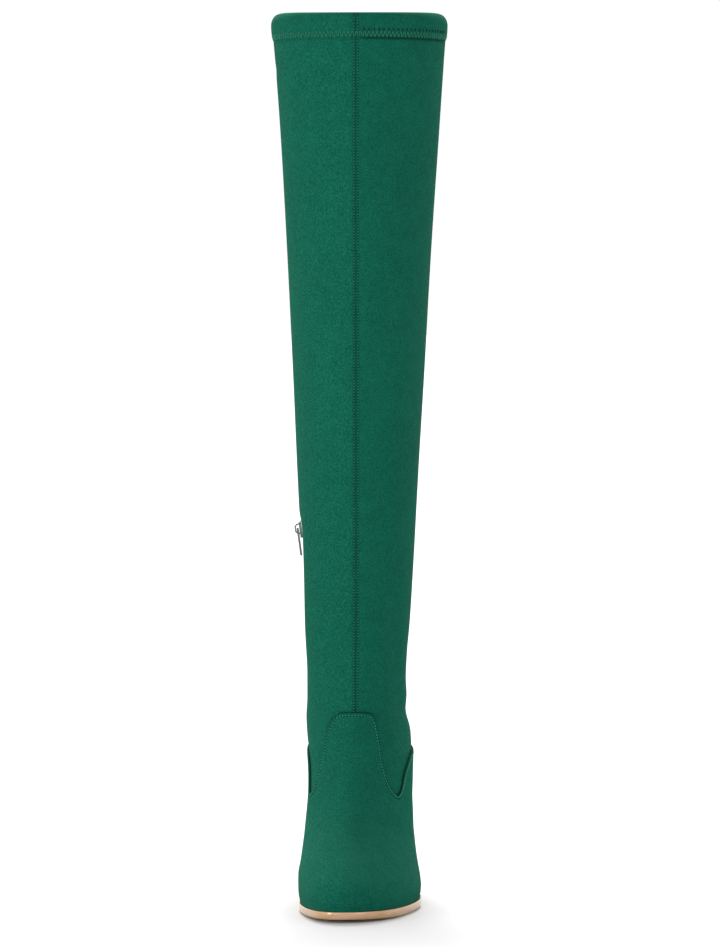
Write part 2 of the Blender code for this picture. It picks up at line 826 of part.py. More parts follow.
def build_slider(home, helpers, finish):
    """The slider's plate, wide above and narrow below, and the bridge that holds the pull."""
    wide = SLIDER_WIDTH / 2
    narrow = wide * SLIDER_NARROW
    end = SLIDER_LENGTH / 2
    low_round = SLIDER_LOW_ROUND
    high_round = SLIDER_HIGH_ROUND
    outline = arc((narrow - low_round, low_round - end), low_round, -90, 0, 3)
    outline.append((wide, 0))
    outline += arc((wide - high_round, end - high_round), high_round, 0, 90, 4)
    outline += [(-x, y) for x, y in reversed(outline)]
    plate = flat_outline("zip_slider", outline, 0, SLIDER_PLATE)
    made = add_object("zip_slider", plate, home, finish)

    span = BRIDGE_LENGTH / 2
    shoulder = BRIDGE_RISE * BRIDGE_SHOULDER
    crest = span * BRIDGE_CREST
    bar = BRIDGE_BAR
    chamfer = bar * math.tan(math.atan2(span - crest, BRIDGE_RISE - shoulder) / 2)
    outer = [(span, 0), (span, shoulder), (crest, BRIDGE_RISE)]
    inner = [(crest - bar + chamfer, BRIDGE_RISE - bar), (span - bar, shoulder - chamfer), (span - bar, 0)]
    outline = [(-x, y) for x, y in outer] + outer[::-1]
    outline += inner[::-1] + [(-x, y) for x, y in inner]
    bridge = flat_outline("zip_bridge", outline, -BRIDGE_WIDTH / 2, BRIDGE_WIDTH / 2)
    upright = Matrix(((0, 0, 1), (1, 0, 0), (0, 1, 0))).to_4x4()
    bridge.transform(upright)
    bridge.transform(Matrix.Translation((0, BRIDGE_UP, SLIDER_PLATE - BRIDGE_SINK)))
    strap = add_object("zip_bridge", bridge, helpers, finish)
    place = slider_frame()
    made.matrix_world = place
    strap.matrix_world = place
    join(made, strap)


def pull_height():
    """How far the pull's axis lies above the slider's underside."""
    bridge_top = SLIDER_PLATE - BRIDGE_SINK + BRIDGE_RISE
    return bridge_top - BRIDGE_BAR - PULL_PLAY - PULL_THICKNESS / 2


def build_pull(home, finish):
    """The pull tab, hanging from its crossbar under the bridge."""
    half = PULL_WIDTH / 2
    waist = PULL_WAIST / 2
    end = PULL_END / 2
    window = PULL_WINDOW_WIDTH / 2
    crossbar = PULL_THICKNESS / 2
    low = crossbar - PULL_LENGTH
    outline = [(-half, crossbar), (-half, -PULL_NECK), (-waist, -PULL_NECK - half)]
    outline += arc((0, low + end), end, 180, 360, 8)
    outline += [(waist, -PULL_NECK - half), (half, -PULL_NECK), (half, crossbar)]
    hole_end = -crossbar - PULL_WINDOW
    hole = [(-window, -crossbar), (window, -crossbar), (window, hole_end), (-window, hole_end)]
    plate = flat_outline("zip_pull", outline, -PULL_THICKNESS / 2, PULL_THICKNESS / 2, hole)
    made = add_object("zip_pull", plate, home, finish)
    made.matrix_world = slider_frame() @ Matrix.Translation((0, BRIDGE_UP, pull_height()))


def main():
    """Builds every piece of the boot."""
    for old in list(bpy.data.objects):
        bpy.data.objects.remove(old)
    home = collection("thigh_boot")
    helpers = collection("cutters")
    suede = material("suede", (0.012, 0.13, 0.085), 0.9)
    heel_cover = material("heel_cover", (0.012, 0.125, 0.08), 0.9)
    tan = material("tan_sole", (0.62, 0.38, 0.2), 0.4)
    rubber = material("heel_rubber", (0.5, 0.3, 0.16), 0.6)
    sock = material("sock", (0.35, 0.25, 0.16), 0.8)
    tape = material("zip_tape", (0.012, 0.11, 0.07), 0.8)
    nickel = material("nickel", (0.5, 0.5, 0.48), 0.3, 1.0)
    build_upper(home, suede)
    build_shaft(home, suede)
    build_outsole(home, tan)
    build_insole(home, sock)
    build_heel(home, heel_cover, rubber)
    build_zip_chain(home, helpers, tape)
    build_slider(home, helpers, nickel)
    build_pull(home, nickel)


main()
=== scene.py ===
"""Looks of a thigh-high faux suede boot with a block heel and an inner ankle zip.

It is a left boot: the toe points along -Y, +Z is up and the inner side, with the zip, faces -X.
Every piece is built on the same form as the solids, in metres, and replaces or dresses its node.
"""
import logging
import math
from dataclasses import dataclass, field
from enum import Enum, IntEnum
from typing import Any, Callable, Sequence

import bpy
import numpy as np
from mathutils import Matrix, Vector


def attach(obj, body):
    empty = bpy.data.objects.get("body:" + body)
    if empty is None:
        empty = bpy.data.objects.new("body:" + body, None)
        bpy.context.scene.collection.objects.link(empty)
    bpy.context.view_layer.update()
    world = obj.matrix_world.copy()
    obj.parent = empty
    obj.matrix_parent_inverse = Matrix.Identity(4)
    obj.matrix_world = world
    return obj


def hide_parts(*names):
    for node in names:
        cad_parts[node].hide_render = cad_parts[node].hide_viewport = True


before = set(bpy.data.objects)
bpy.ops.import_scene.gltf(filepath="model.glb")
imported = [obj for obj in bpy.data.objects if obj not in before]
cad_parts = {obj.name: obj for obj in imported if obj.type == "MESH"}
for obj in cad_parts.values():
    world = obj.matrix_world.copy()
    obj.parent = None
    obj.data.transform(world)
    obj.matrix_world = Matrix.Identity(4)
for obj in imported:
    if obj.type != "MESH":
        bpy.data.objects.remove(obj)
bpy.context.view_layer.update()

LOG = logging.getLogger("thigh_boot")
MM = 0.001
# Name of the point attribute that carries painted shade: grooves, stitch rows and overlapping edges,
# darkened in the suede's colour.
PAINTED_SHADE = "painted_shade"
# How often a height is halved in on, and how often places that depend on each other are redone.
HALVINGS = 26
SETTLING = 3

Array = np.ndarray
Material = bpy.types.Material
Object = bpy.types.Object


class Body(Enum):
    """The body that new pieces ride on."""

    BOOT = "boot"


class Slot(Enum):
    """The record's material slots, passed along with new pieces."""

    SUEDE = "suede"
    HEEL_COVER = "heel_cover"
    SOLE = "tan_sole"
    HEEL_RUBBER = "heel_rubber"
    ZIP_TAPE = "zip_tape"


# ---- The form ------------------------------------------------------------------------------------
# Levels of the foot, from the feather edge to the ankle: shares of the foot's length, the instep's
# and the counter's rise and the half width.
FOOT_COLUMNS = (
    "front_along", "front_rise", "back_along", "back_rise",
    "medial", "lateral", "waist", "follow", "crest",
)
FOOT_ROWS = (
    (1.000, 0.000, 0.0000, 0.000, 1.000, 1.000, 1.00, 1.00, 0.00),
    (1.009, 0.058, -0.0155, 0.123, 1.030, 1.048, 0.85, 1.00, 0.00),
    (0.987, 0.154, -0.0210, 0.222, 1.034, 1.040, 0.65, 0.95, 0.00),
    (0.922, 0.250, -0.0200, 0.309, 1.000, 1.028, 0.50, 0.85, 0.00),
    (0.793, 0.370, -0.0180, 0.383, 0.980, 1.062, 0.40, 0.70, 0.10),
    (0.656, 0.519, -0.0135, 0.469, 1.000, 1.105, 0.30, 0.50, 0.30),
    (0.544, 0.654, -0.0090, 0.568, 1.035, 1.090, 0.20, 0.30, 0.36),
    (0.464, 0.740, -0.0045, 0.679, 1.040, 1.035, 0.12, 0.15, 0.28),
    (0.407, 0.846, -0.0020, 0.815, 1.010, 0.990, 0.06, 0.05, 0.14),
    (0.373, 1.000, -0.0045, 1.000, 1.010, 0.940, 0.00, 0.00, 0.04),
)
# Levels of the leg: shares of its height, and of the way from the ankle's size to the thigh's.
LEG_COLUMNS = ("height", "deepen", "front", "medial", "lateral")
LEG_ROWS = (
    (0.0645, -0.016, 0.574, 0.085, 0.046),
    (0.161, 0.203, 0.508, 0.150, 0.152),
    (0.312, 0.625, 0.448, 0.285, 0.293),
    (0.462, 0.938, 0.426, 0.403, 0.449),
    (0.634, 1.030, 0.432, 0.548, 0.616),
    (0.828, 0.984, 0.459, 0.734, 0.844),
    (1.000, 1.000, 0.487, 0.958, 1.046),
)
# The feather edge's outline: places along the foot, 1 at the toe's tip, and the half widths of its
# inner and outer side as shares of half the ball's width.
OUTLINE_ROWS = (
    (1.000, 0.95, 1.40),
    (0.950, 0.93, 1.37),
    (0.900, 0.90, 1.32),
    (0.800, 0.905, 1.255),
    (0.700, 0.875, 1.225),
    (0.615, 0.80, 1.165),
    (0.500, 0.69, 1.00),
    (0.400, 0.63, 0.89),
    (0.300, 0.67, 0.86),
    (0.200, 0.79, 0.90),
    (0.100, 1.012, 1.05),
    (0.000, 1.32, 1.32),
)
# The sole's profile, as a share of the way from the forefoot's level up to the heel's seat.
PROFILE_ROWS = (
    (0.000, 1.000),
    (0.136, 0.936),
    (0.247, 0.858),
    (0.336, 0.687),
    (0.447, 0.387),
    (0.558, 0.110),
    (0.660, 0.000),
    (1.000, 0.000),
)
# The throat line on either side, from the middle of the instep round to the heel's back: s, and the
# share of the throat's height.
THROAT_INNER = (
    (0.000, 1.000),
    (0.070, 0.995),
    (0.098, 0.977),
    (0.128, 0.940),
    (0.160, 0.845),
    (0.182, 0.742),
    (0.210, 0.636),
    (0.245, 0.575),
    (0.264, 0.567),
    (0.280, 0.610),
    (0.305, 0.740),
    (0.350, 0.785),
    (0.500, 0.830),
    (0.750, 0.930),
    (1.000, 0.970),
)
THROAT_OUTER = (
    (0.000, 1.000),
    (0.060, 0.995),
    (0.088, 0.977),
    (0.103, 0.934),
    (0.120, 0.814),
    (0.143, 0.667),
    (0.158, 0.612),
    (0.175, 0.576),
    (0.192, 0.562),
    (0.212, 0.593),
    (0.232, 0.650),
    (0.268, 0.713),
    (0.320, 0.765),
    (0.500, 0.820),
    (0.750, 0.930),
    (1.000, 0.970),
)


class SmoothCurve:
    """A smooth curve through points, which never overshoots them."""

    def __init__(self, xs: Sequence[float], ys: Sequence[float]) -> None:
        """Works out the curve's slopes.

        Args:
            xs: Places of the points, in any order.
            ys: Values at the points.
        """
        order = np.argsort(np.asarray(xs, float))
        self.xs = np.asarray(xs, float)[order]
        self.ys = np.asarray(ys, float)[order]
        steps = np.diff(self.xs)
        slopes = np.diff(self.ys) / steps
        self.tangents = np.zeros(len(self.xs))
        self.tangents[0] = slopes[0]
        self.tangents[-1] = slopes[-1]
        for k in range(1, len(self.xs) - 1):
            before, after = slopes[k - 1], slopes[k]
            if before * after > 0:
                near = 2 * steps[k] + steps[k - 1]
                far = steps[k] + 2 * steps[k - 1]
                self.tangents[k] = (near + far) / (near / before + far / after)

    def __call__(self, x: Array) -> Array:
        """The curve's values.

        Args:
            x: Places, held to the curve's ends.

        Returns:
            The values at those places.
        """
        x = np.clip(np.asarray(x, float), self.xs[0], self.xs[-1])
        k = np.clip(np.searchsorted(self.xs, x, side="right") - 1, 0, len(self.xs) - 2)
        step = self.xs[k + 1] - self.xs[k]
        t = (x - self.xs[k]) / step
        rise = self.ys[k] * (1 + 2 * t) * (1 - t) ** 2 + self.ys[k + 1] * t * t * (3 - 2 * t)
        bend = self.tangents[k] * t * (1 - t) ** 2 - self.tangents[k + 1] * t * t * (1 - t)
        return rise + bend * step


def table_curve(rows: Sequence[Sequence[float]], across: int, value: int) -> SmoothCurve:
    """A smooth curve of a table's values in one column over the places in another."""
    return SmoothCurve([row[across] for row in rows], [row[value] for row in rows])


@dataclass
class BootForm:
    """The form that the boot is lasted on.

    A point is named by s, from -1 at the back through the inner side, 0 in front and the outer side
    to 1 at the back, and by v, its level, from 0 at the feather edge to the hem.
    """

    foot_length: float = 225 * MM
    heel_back: float = 30.5 * MM
    ball_width: float = 80.6 * MM
    heel_height: float = 76 * MM
    toe_spring: float = 1.2 * MM
    toe_swing: float = 7.5 * MM
    instep_rise: float = 104 * MM
    counter_rise: float = 81 * MM
    boot_height: float = 620 * MM
    ankle_width: float = 72 * MM
    ankle_depth: float = 85 * MM
    thigh_width: float = 124.6 * MM
    thigh_depth: float = 117 * MM
    sole_edge: float = 6.3 * MM
    sole_waist: float = 3.2 * MM
    clearance: float = 0.3 * MM
    zip_line: float = 3 * MM
    zip_top: float = 261.5 * MM
    zip_set_in: float = 2.2 * MM
    zip_flare: float = 13 * MM
    zip_fade: float = 8 * MM
    throat_height: float = 129 * MM
    spring_start: float = 0.8
    spring_power: float = 1.7
    swing_start: float = 0.4
    swing_power: float = 1.6
    crest_fall: float = 2.6
    lean_limit: float = 0.95
    steepest: float = 0.25
    curves: dict[str, SmoothCurve] = field(init=False)

    def __post_init__(self) -> None:
        """Sets up the curves of the tables."""
        self.profile = table_curve(PROFILE_ROWS, 0, 1)
        self.medial = table_curve(OUTLINE_ROWS, 0, 1)
        self.lateral = table_curve(OUTLINE_ROWS, 0, 2)
        self.throat_inner = table_curve(THROAT_INNER, 0, 1)
        self.throat_outer = table_curve(THROAT_OUTER, 0, 1)
        levels = self._foot_levels() + self._leg_levels()
        self.last = float(len(levels) - 1)
        self.curves = {
            key: SmoothCurve(range(len(levels)), [float(level[key]) for level in levels])
            for key in levels[0]
        }
        self.throat_s = np.linspace(-1, 1, 801)
        line = self.point(self.throat_s, self.level_at(self.throat_s, self.throat_z(self.throat_s)))
        runs = np.gradient(line, axis=0)
        flat = np.linalg.norm(runs[:, :2], axis=1) / np.linalg.norm(runs, axis=1)
        self.throat_flat = np.maximum(flat, self.steepest)

    def _foot_levels(self) -> list[dict[str, float]]:
        """The foot's levels in metres."""
        levels = []
        for row in FOOT_ROWS:
            share = dict(zip(FOOT_COLUMNS, row))
            narrowing = (self.ankle_width - self.ball_width) / 2
            half = self.ball_width / 2 + narrowing * share["back_rise"]
            front_y = self.heel_back - share["front_along"] * self.foot_length
            levels.append({
                "front_y": front_y,
                "front_z": self.feather(front_y) + share["front_rise"] * self.instep_rise,
                "back_y": self.heel_back - share["back_along"] * self.foot_length,
                "back_z": self.heel_height + share["back_rise"] * self.counter_rise,
                "medial": share["medial"] * half,
                "lateral": share["lateral"] * half,
                **{key: share[key] for key in ("waist", "follow", "crest")},
            })
        return levels

    def _leg_levels(self) -> list[dict[str, float]]:
        """The leg's levels in metres."""
        levels = []
        ankle = self.heel_height + self.counter_rise
        spread = (self.thigh_width - self.ankle_width) / 2
        for row in LEG_ROWS:
            share = dict(zip(LEG_COLUMNS, row))
            depth = self.ankle_depth + (self.thigh_depth - self.ankle_depth) * share["deepen"]
            z = ankle + (self.boot_height - ankle) * share["height"]
            levels.append({
                "front_y": -depth * share["front"],
                "front_z": z,
                "back_y": depth * (1 - share["front"]),
                "back_z": z,
                "medial": self.ankle_width / 2 + spread * share["medial"],
                "lateral": self.ankle_width / 2 + spread * share["lateral"],
                **dict.fromkeys(("waist", "follow", "crest"), 0.0),
            })
        return levels

    def along(self, y: Array) -> Array:
        """A place along the foot, 0 at the heel's back and 1 at the toe's tip."""
        return (self.heel_back - y) / self.foot_length

    def feather(self, y: Array) -> Array:
        """Height of the upper's lower edge.

        Args:
            y: Places along the foot.

        Returns:
            The edge's heights.
        """
        forefoot = self.sole_edge + self.clearance
        along = self.along(y)
        past = np.maximum(0.0, (along - self.spring_start) / (1 - self.spring_start))
        rise = (self.heel_height - forefoot) * self.profile(along)
        return forefoot + rise + self.toe_spring * past**self.spring_power

    def sole_thickness(self, y: Array) -> Array:
        """The outsole's edge, thick under the forefoot and thin at the waist."""
        return self.sole_edge + (self.sole_waist - self.sole_edge) * self.profile(self.along(y))

    def point(self, s: Array, v: Array) -> Array:
        """Points of the form.

        Args:
            s: Places round the form.
            v: Levels.

        Returns:
            The points, with x, y and z on the last axis.
        """
        s, v = np.broadcast_arrays(np.asarray(s, float), np.asarray(v, float))
        level = {key: curve(v) for key, curve in self.curves.items()}
        depth = level["back_y"] - level["front_y"]
        lean = self._lean(level["front_y"], depth)
        around = np.abs(s)
        angle = math.pi * (around + lean * around * (1 - around))
        share = (1 - np.cos(angle)) / 2
        y = level["front_y"] + depth * share
        along = self.along(y)
        inner = s < 0
        outline = np.where(inner, self.medial(along), self.lateral(along))
        half = np.where(inner, level["medial"], level["lateral"])
        half = half * (level["waist"] * outline + 1 - level["waist"])
        half = half * (1 - level["crest"] * (1 - share) ** self.crest_fall) * np.sin(angle)
        chord = level["front_z"] + (level["back_z"] - level["front_z"]) * share
        front_lift = level["front_z"] - self.feather(level["front_y"])
        back_lift = level["back_z"] - self.feather(level["back_y"])
        sole_line = self.feather(y) + front_lift + (back_lift - front_lift) * share
        z = chord + (sole_line - chord) * level["follow"]
        past = np.maximum(0.0, (along - self.swing_start) / (1 - self.swing_start))
        swing = -self.toe_swing * past**self.swing_power
        x = np.where(inner, swing - half + self._zip_hollow(y, z), swing + half)
        return np.stack([x, y, z], axis=-1)

    def _lean(self, front: Array, depth: Array) -> Array:
        """How much the columns lean towards the zip's line, from a level's front and depth."""
        zip_share = np.clip((self.zip_line - front) / depth, 0.02, 0.98)
        lean = 4 * (np.arccos(1 - 2 * zip_share) / math.pi - 0.5)
        return np.clip(lean, -self.lean_limit, self.lean_limit)

    def _zip_hollow(self, y: Array, z: Array) -> Array:
        """How far the zip draws the inner side in."""
        fade = held((self.zip_top + self.zip_fade - z) / (2 * self.zip_fade))
        return self.zip_set_in * eased(fade) * bell(y - self.zip_line, self.zip_flare)

    def normal(self, s: Array, v: Array) -> Array:
        """Outward directions.

        Args:
            s: Places round the form.
            v: Levels.

        Returns:
            Unit directions.
        """
        step = 0.002
        s, v = np.broadcast_arrays(np.asarray(s, float), np.asarray(v, float))
        low, high = np.maximum(v - step, 0.0), np.minimum(v + step, self.last)
        across = self.point(wrapped(s + step), v) - self.point(wrapped(s - step), v)
        return unit(np.cross(across, self.point(s, high) - self.point(s, low)))

    def skin(self, s: Array, v: Array, out: Array) -> Array:
        """Points at distances outside the form."""
        return self.point(s, v) + np.asarray(out, float)[..., None] * self.normal(s, v)

    def outline(self, s: Array, out: Array) -> Array:
        """Points of the feather edge, moved outwards in plan.

        Args:
            s: Places round the edge.
            out: Distances.

        Returns:
            The points, at the feather edge's height.
        """
        step = 0.004
        ends = self.point(wrapped(s + step), 0.0) - self.point(wrapped(s - step), 0.0)
        away = unit(np.stack([ends[..., 1], -ends[..., 0], np.zeros_like(ends[..., 0])], axis=-1))
        moved = self.point(s, 0.0) + np.asarray(out, float)[..., None] * away
        moved[..., 2] = self.feather(moved[..., 1])
        return moved

    def level_at(self, s: Array, z: Array) -> Array:
        """Levels at which columns reach heights.

        Args:
            s: Places round the form.
            z: Heights.

        Returns:
            The levels.
        """
        s, z = np.broadcast_arrays(np.asarray(s, float), np.asarray(z, float))
        low, high = np.zeros(s.shape), np.full(s.shape, self.last)
        for _ in range(HALVINGS):
            middle = (low + high) / 2
            below = self.point(s, middle)[..., 2] < z
            low = np.where(below, middle, low)
            high = np.where(below, high, middle)
        return (low + high) / 2

    def throat_z(self, s: Array) -> Array:
        """Heights of the upper's top edge."""
        share = np.where(s < 0, self.throat_inner(-s), self.throat_outer(s))
        return self.throat_height * share

    def below_throat(self, s: Array, z: Array) -> Array:
        """Distances from the upper's top edge, square to it and downwards."""
        return (self.throat_z(s) - z) * self.flatness(s)

    def flatness(self, s: Array) -> Array:
        """How flat the upper's top edge runs, 1 where it is level."""
        return np.interp(s, self.throat_s, self.throat_flat)

    def girth(self, s: float, v: Array) -> Array:
        """Metres round the form for one unit of s, near a column."""
        step = 0.01
        ahead, behind = (self.point(wrapped(np.array(s + way)), v) for way in (step, -step))
        return np.linalg.norm(ahead - behind, axis=-1) / (2 * step)

    def from_front(self, s: Array, v: Array) -> Array:
        """Distances from the front seam."""
        return np.abs(s) * self.girth(0.0, v)

    def from_back(self, s: Array, v: Array) -> Array:
        """Distances from the back seam."""
        return (1 - np.abs(s)) * self.girth(1.0, v)

    def zip_s(self, v: Array, distance: Array = 0.0) -> Array:
        """s of an upright line beside the zip's middle.

        Args:
            v: Levels.
            distance: Distance in front of the middle, below 0 behind it.

        Returns:
            s, on the inner side.
        """
        front = self.curves["front_y"](v)
        depth = self.curves["back_y"](v) - front
        share = np.clip((self.zip_line - distance - front) / depth, 0.01, 0.99)
        turned = np.arccos(1 - 2 * share) / math.pi
        lean = self._lean(front, depth)
        lean = np.where(np.abs(lean) < 1e-4, 1e-4, lean)
        return -((1 + lean) - np.sqrt((1 + lean) ** 2 - 4 * lean * turned)) / (2 * lean)

    def zip_level(self, z: Array) -> Array:
        """Levels at which the zip's line reaches heights."""
        v = self.level_at(np.full(np.shape(z), -0.5), z)
        for _ in range(SETTLING):
            v = self.level_at(self.zip_s(v), z)
        return v

    def from_zip(self, s: Array, v: Array) -> Array:
        """Distances from the zip's line, in front of it or behind it."""
        return np.abs(self.point(s, v)[..., 1] - self.zip_line)


def wrapped(s: Array) -> Array:
    """s brought back into -1 to 1."""
    return (s + 1) % 2 - 1


def unit(vectors: Array) -> Array:
    """Vectors brought to a length of 1."""
    return vectors / np.maximum(np.linalg.norm(vectors, axis=-1, keepdims=True), 1e-12)


def bell(x: Array, width: float) -> Array:
    """A soft bump of height 1 round 0."""
    return np.exp(-((x / width) ** 2))


def held(share: Array) -> Array:
    """Shares held between 0 and 1."""
    return np.clip(share, 0.0, 1.0)


def eased(share: Array) -> Array:
    """Shares from 0 to 1 with a soft start and end."""
    return share * share * (3 - 2 * share)


def rolled(near: Array) -> Array:
    """How far a rounded edge falls back, 1 at the edge itself, from how near to it places are."""
    return 1 - np.sqrt(held(1 - near**2))


def run_along(line: Array) -> Array:
    """Distances of a line's points from its start, measured along it."""
    return np.concatenate([[0.0], np.cumsum(np.linalg.norm(np.diff(line, axis=0), axis=1))])


def graded(length: float, step: float, fine: Sequence[float]) -> Array:
    """Places from 0 to 1 along a length, set out finely near both ends.

    Args:
        length: The length.
        step: Distance between the places in the middle.
        fine: Distances of the first places from an end.

    Returns:
        The places, rising.
    """
    near = np.asarray(fine)
    count = max(round((length - 2 * near[-1]) / step), 1)
    middle = np.linspace(near[-1], length - near[-1], count + 1)
    return np.concatenate([near, middle[1:-1], (length - near)[::-1]]) / length


# ---- Meshes --------------------------------------------------------------------------------------
# Width of a bar's ends, as a share of its middle's.
BAR_TAPER = 0.45


def place_in_scene(name: str, data: Any) -> Object:
    """An object that shows data, linked to the scene."""
    made = bpy.data.objects.new(name, data)
    bpy.context.scene.collection.objects.link(made)
    return made


def make_object(
    name: str, points: Array, faces: Sequence[Sequence[int]], sharp: float = 40.0
) -> Object:
    """An object of points and faces, shaded smooth apart from its sharp edges.

    Args:
        name: The piece's name.
        points: The points.
        faces: Faces as lists of numbers of points.
        sharp: Angle in degrees over which an edge is sharp.

    Returns:
        The object, linked to the scene.
    """
    mesh = bpy.data.meshes.new(name)
    mesh.from_pydata(np.asarray(points).reshape(-1, 3).tolist(), [], faces)
    mesh.update()
    mesh.shade_smooth()
    mesh.set_sharp_from_angle(angle=math.radians(sharp))
    return place_in_scene(name, mesh)


def shell(name: str, outer: Array, inner: Array, keep: Array, painted_shade: Array) -> Object:
    """A closed wall between two grids of points that run round the boot.

    Args:
        name: The piece's name.
        outer: Points of the outside, by column and row.
        inner: Points of the inside.
        keep: Which faces are there, by column and row.
        painted_shade: How much painted shade lies at each point, in grooves, stitch rows and along
            overlapping edges, from 0 to 1.

    Returns:
        The object. Its inner faces have material 1 and the others 0.
    """
    columns, rows = outer.shape[:2]
    ids = np.arange(columns * rows).reshape(columns, rows)
    after = np.roll(ids, -1, axis=0)
    back = columns * rows
    a, b = ids[:, :-1], after[:, :-1]
    c, d = after[:, 1:], ids[:, 1:]
    outside = np.stack([a, b, c, d], axis=-1)[keep]
    inside = outside[:, ::-1] + back
    gone = ~keep
    edge_row = np.ones((columns, 1), bool)
    below = keep & np.concatenate([edge_row, gone[:, :-1]], axis=1)
    above = keep & np.concatenate([gone[:, 1:], edge_row], axis=1)
    left = keep & np.roll(gone, 1, axis=0)
    right = keep & np.roll(gone, -1, axis=0)
    rims = [
        np.stack([p, q, q + back, p + back], axis=-1)[mask]
        for p, q, mask in ((b, a, below), (d, c, above), (a, d, left), (c, b, right))
    ]
    faces = np.concatenate([outside, *rims, inside])
    used, numbers = np.unique(faces, return_inverse=True)
    points = np.concatenate([outer.reshape(-1, 3), inner.reshape(-1, 3)])[used]
    made = make_object(name, points, numbers.reshape(faces.shape).tolist())
    lining = np.zeros(len(faces), np.int32)
    lining[-len(inside):] = 1
    for _ in range(2):
        made.data.materials.append(None)
    made.data.polygons.foreach_set("material_index", lining)
    # Painted shade per point, stored for the suede to darken its colour with.
    shade_share = np.clip(np.concatenate([painted_shade.ravel(), painted_shade.ravel()])[used], 0.0, 1.0)
    made.data.attributes.new(PAINTED_SHADE, "FLOAT", "POINT").data.foreach_set("value", shade_share)
    return made


def closed_rings(name: str, rings: Array, sharp: float = 40.0) -> Object:
    """A solid through a stack of rings whose points pair up from both ends, with its ends closed.

    Args:
        name: The piece's name.
        rings: Points, by ring and place.
        sharp: Angle in degrees over which an edge is sharp.

    Returns:
        The object.
    """
    stack, count = rings.shape[:2]
    ids = np.arange(stack * count).reshape(stack, count)
    faces = []
    for low, high in zip(ids, ids[1:]):
        for k in range(count):
            after = (k + 1) % count
            faces.append([low[k], low[after], high[after], high[k]])
    for ring, forward in ((ids[0], False), (ids[-1], True)):
        for k in range(count // 2):
            corners = [ring[k], ring[k + 1], ring[count - 2 - k], ring[count - 1 - k]]
            unlike = list(dict.fromkeys(int(corner) for corner in corners))
            if len(unlike) > 2:
                faces.append(unlike if forward else unlike[::-1])
    return make_object(name, rings, [[int(n) for n in face] for face in faces], sharp)


def bars(name: str, paths: Sequence[Array], radius: float, sides: int = 6) -> Object:
    """Many short round bars in one mesh, tapered to closed ends.

    Args:
        name: The piece's name.
        paths: Points of each bar, all with the same number of points.
        radius: The bars' radius.
        sides: Number of sides.

    Returns:
        The object.
    """
    lines = np.asarray(paths, float)
    count, length = lines.shape[:2]
    ahead = unit(np.gradient(lines, axis=1))
    spare = np.where(np.abs(ahead[..., 2:]) < 0.8, [[[0.0, 0.0, 1.0]]], [[[1.0, 0.0, 0.0]]])
    side = unit(np.cross(ahead, spare))
    up = np.cross(side, ahead)
    taper = np.ones(length)
    taper[[0, -1]] = BAR_TAPER
    turn = np.arange(sides) * 2 * math.pi / sides
    ring = np.cos(turn)[:, None] * side[:, :, None] + np.sin(turn)[:, None] * up[:, :, None]
    points = lines[:, :, None] + radius * taper[None, :, None, None] * ring
    ids = np.arange(count * length * sides).reshape(count, length, sides)
    after = np.roll(ids, -1, axis=2)
    walls = np.stack([ids[:, :-1], ids[:, 1:], after[:, 1:], after[:, :-1]], axis=-1)
    faces = walls.reshape(-1, 4).tolist()
    faces += ids[:, 0].tolist() + ids[:, -1, ::-1].tolist()
    return make_object(name, points, faces, sharp=70.0)


def dress(piece: Object, slot: Slot, *finishes: Material, body: Body = Body.BOOT) -> None:
    """Gives a new piece its body and its materials.

    Args:
        piece: The piece.
        slot: Not used.
        finishes: Its materials, in order.
        body: The body it rides on.
    """
    for place, finish in enumerate(finishes):
        if place < len(piece.data.materials):
            piece.data.materials[place] = finish
        else:
            piece.data.materials.append(finish)
    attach(piece, body.value)
    LOG.info("%s: %d faces, rides on %s", piece.name, len(piece.data.polygons), body.value)


def round_edges(piece: Object, width: float, segments: int, angle: float) -> None:
    """Rounds a piece's edges that are sharper than an angle.

    Args:
        piece: The piece.
        width: Width of the rounding.
        segments: Number of steps across it.
        angle: The angle in degrees.
    """
    rounding = piece.modifiers.new("rounded edges", "BEVEL")
    rounding.width = width
    rounding.segments = segments
    rounding.limit_method = "ANGLE"
    rounding.angle_limit = math.radians(angle)


def refinish(node: str, finish: Material, bevel: float) -> None:
    """Gives a node of the frame a new material and rounded edges.

    Args:
        node: The node's name.
        finish: Its material.
        bevel: Width of the rounding.
    """
    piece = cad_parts[node]
    for place in piece.material_slots:
        place.material = finish
    round_edges(piece, bevel, 2, 35.0)
    LOG.info("%s: the frame's own mesh, rounded by %.2f mm", node, bevel / MM)


# ---- Finishes ------------------------------------------------------------------------------------
def linear(colour: str) -> tuple[float, float, float, float]:
    """An sRGB hex colour as linear values.

    Args:
        colour: Six hex digits after a hash.

    Returns:
        Red, green, blue and 1.
    """
    values = [int(colour[k:k + 2], 16) / 255 for k in (1, 3, 5)]
    red, green, blue = (
        value / 12.92 if value <= 0.04045 else ((value + 0.055) / 1.055) ** 2.4 for value in values
    )
    return red, green, blue, 1.0


def add_node(tree: bpy.types.NodeTree, kind: str, inputs: dict[Any, Any], **settings: Any) -> Any:
    """Adds a node with its settings and links.

    Args:
        tree: The material's node tree.
        kind: The node's type.
        inputs: For each input, by name or number, an output to link or a value.
        settings: The node's own settings.

    Returns:
        The node.
    """
    node = tree.nodes.new(kind)
    for name, value in settings.items():
        setattr(node, name, value)
    for key, value in inputs.items():
        if isinstance(value, bpy.types.NodeSocket):
            tree.links.new(value, node.inputs[key])
        else:
            node.inputs[key].default_value = value
    return node


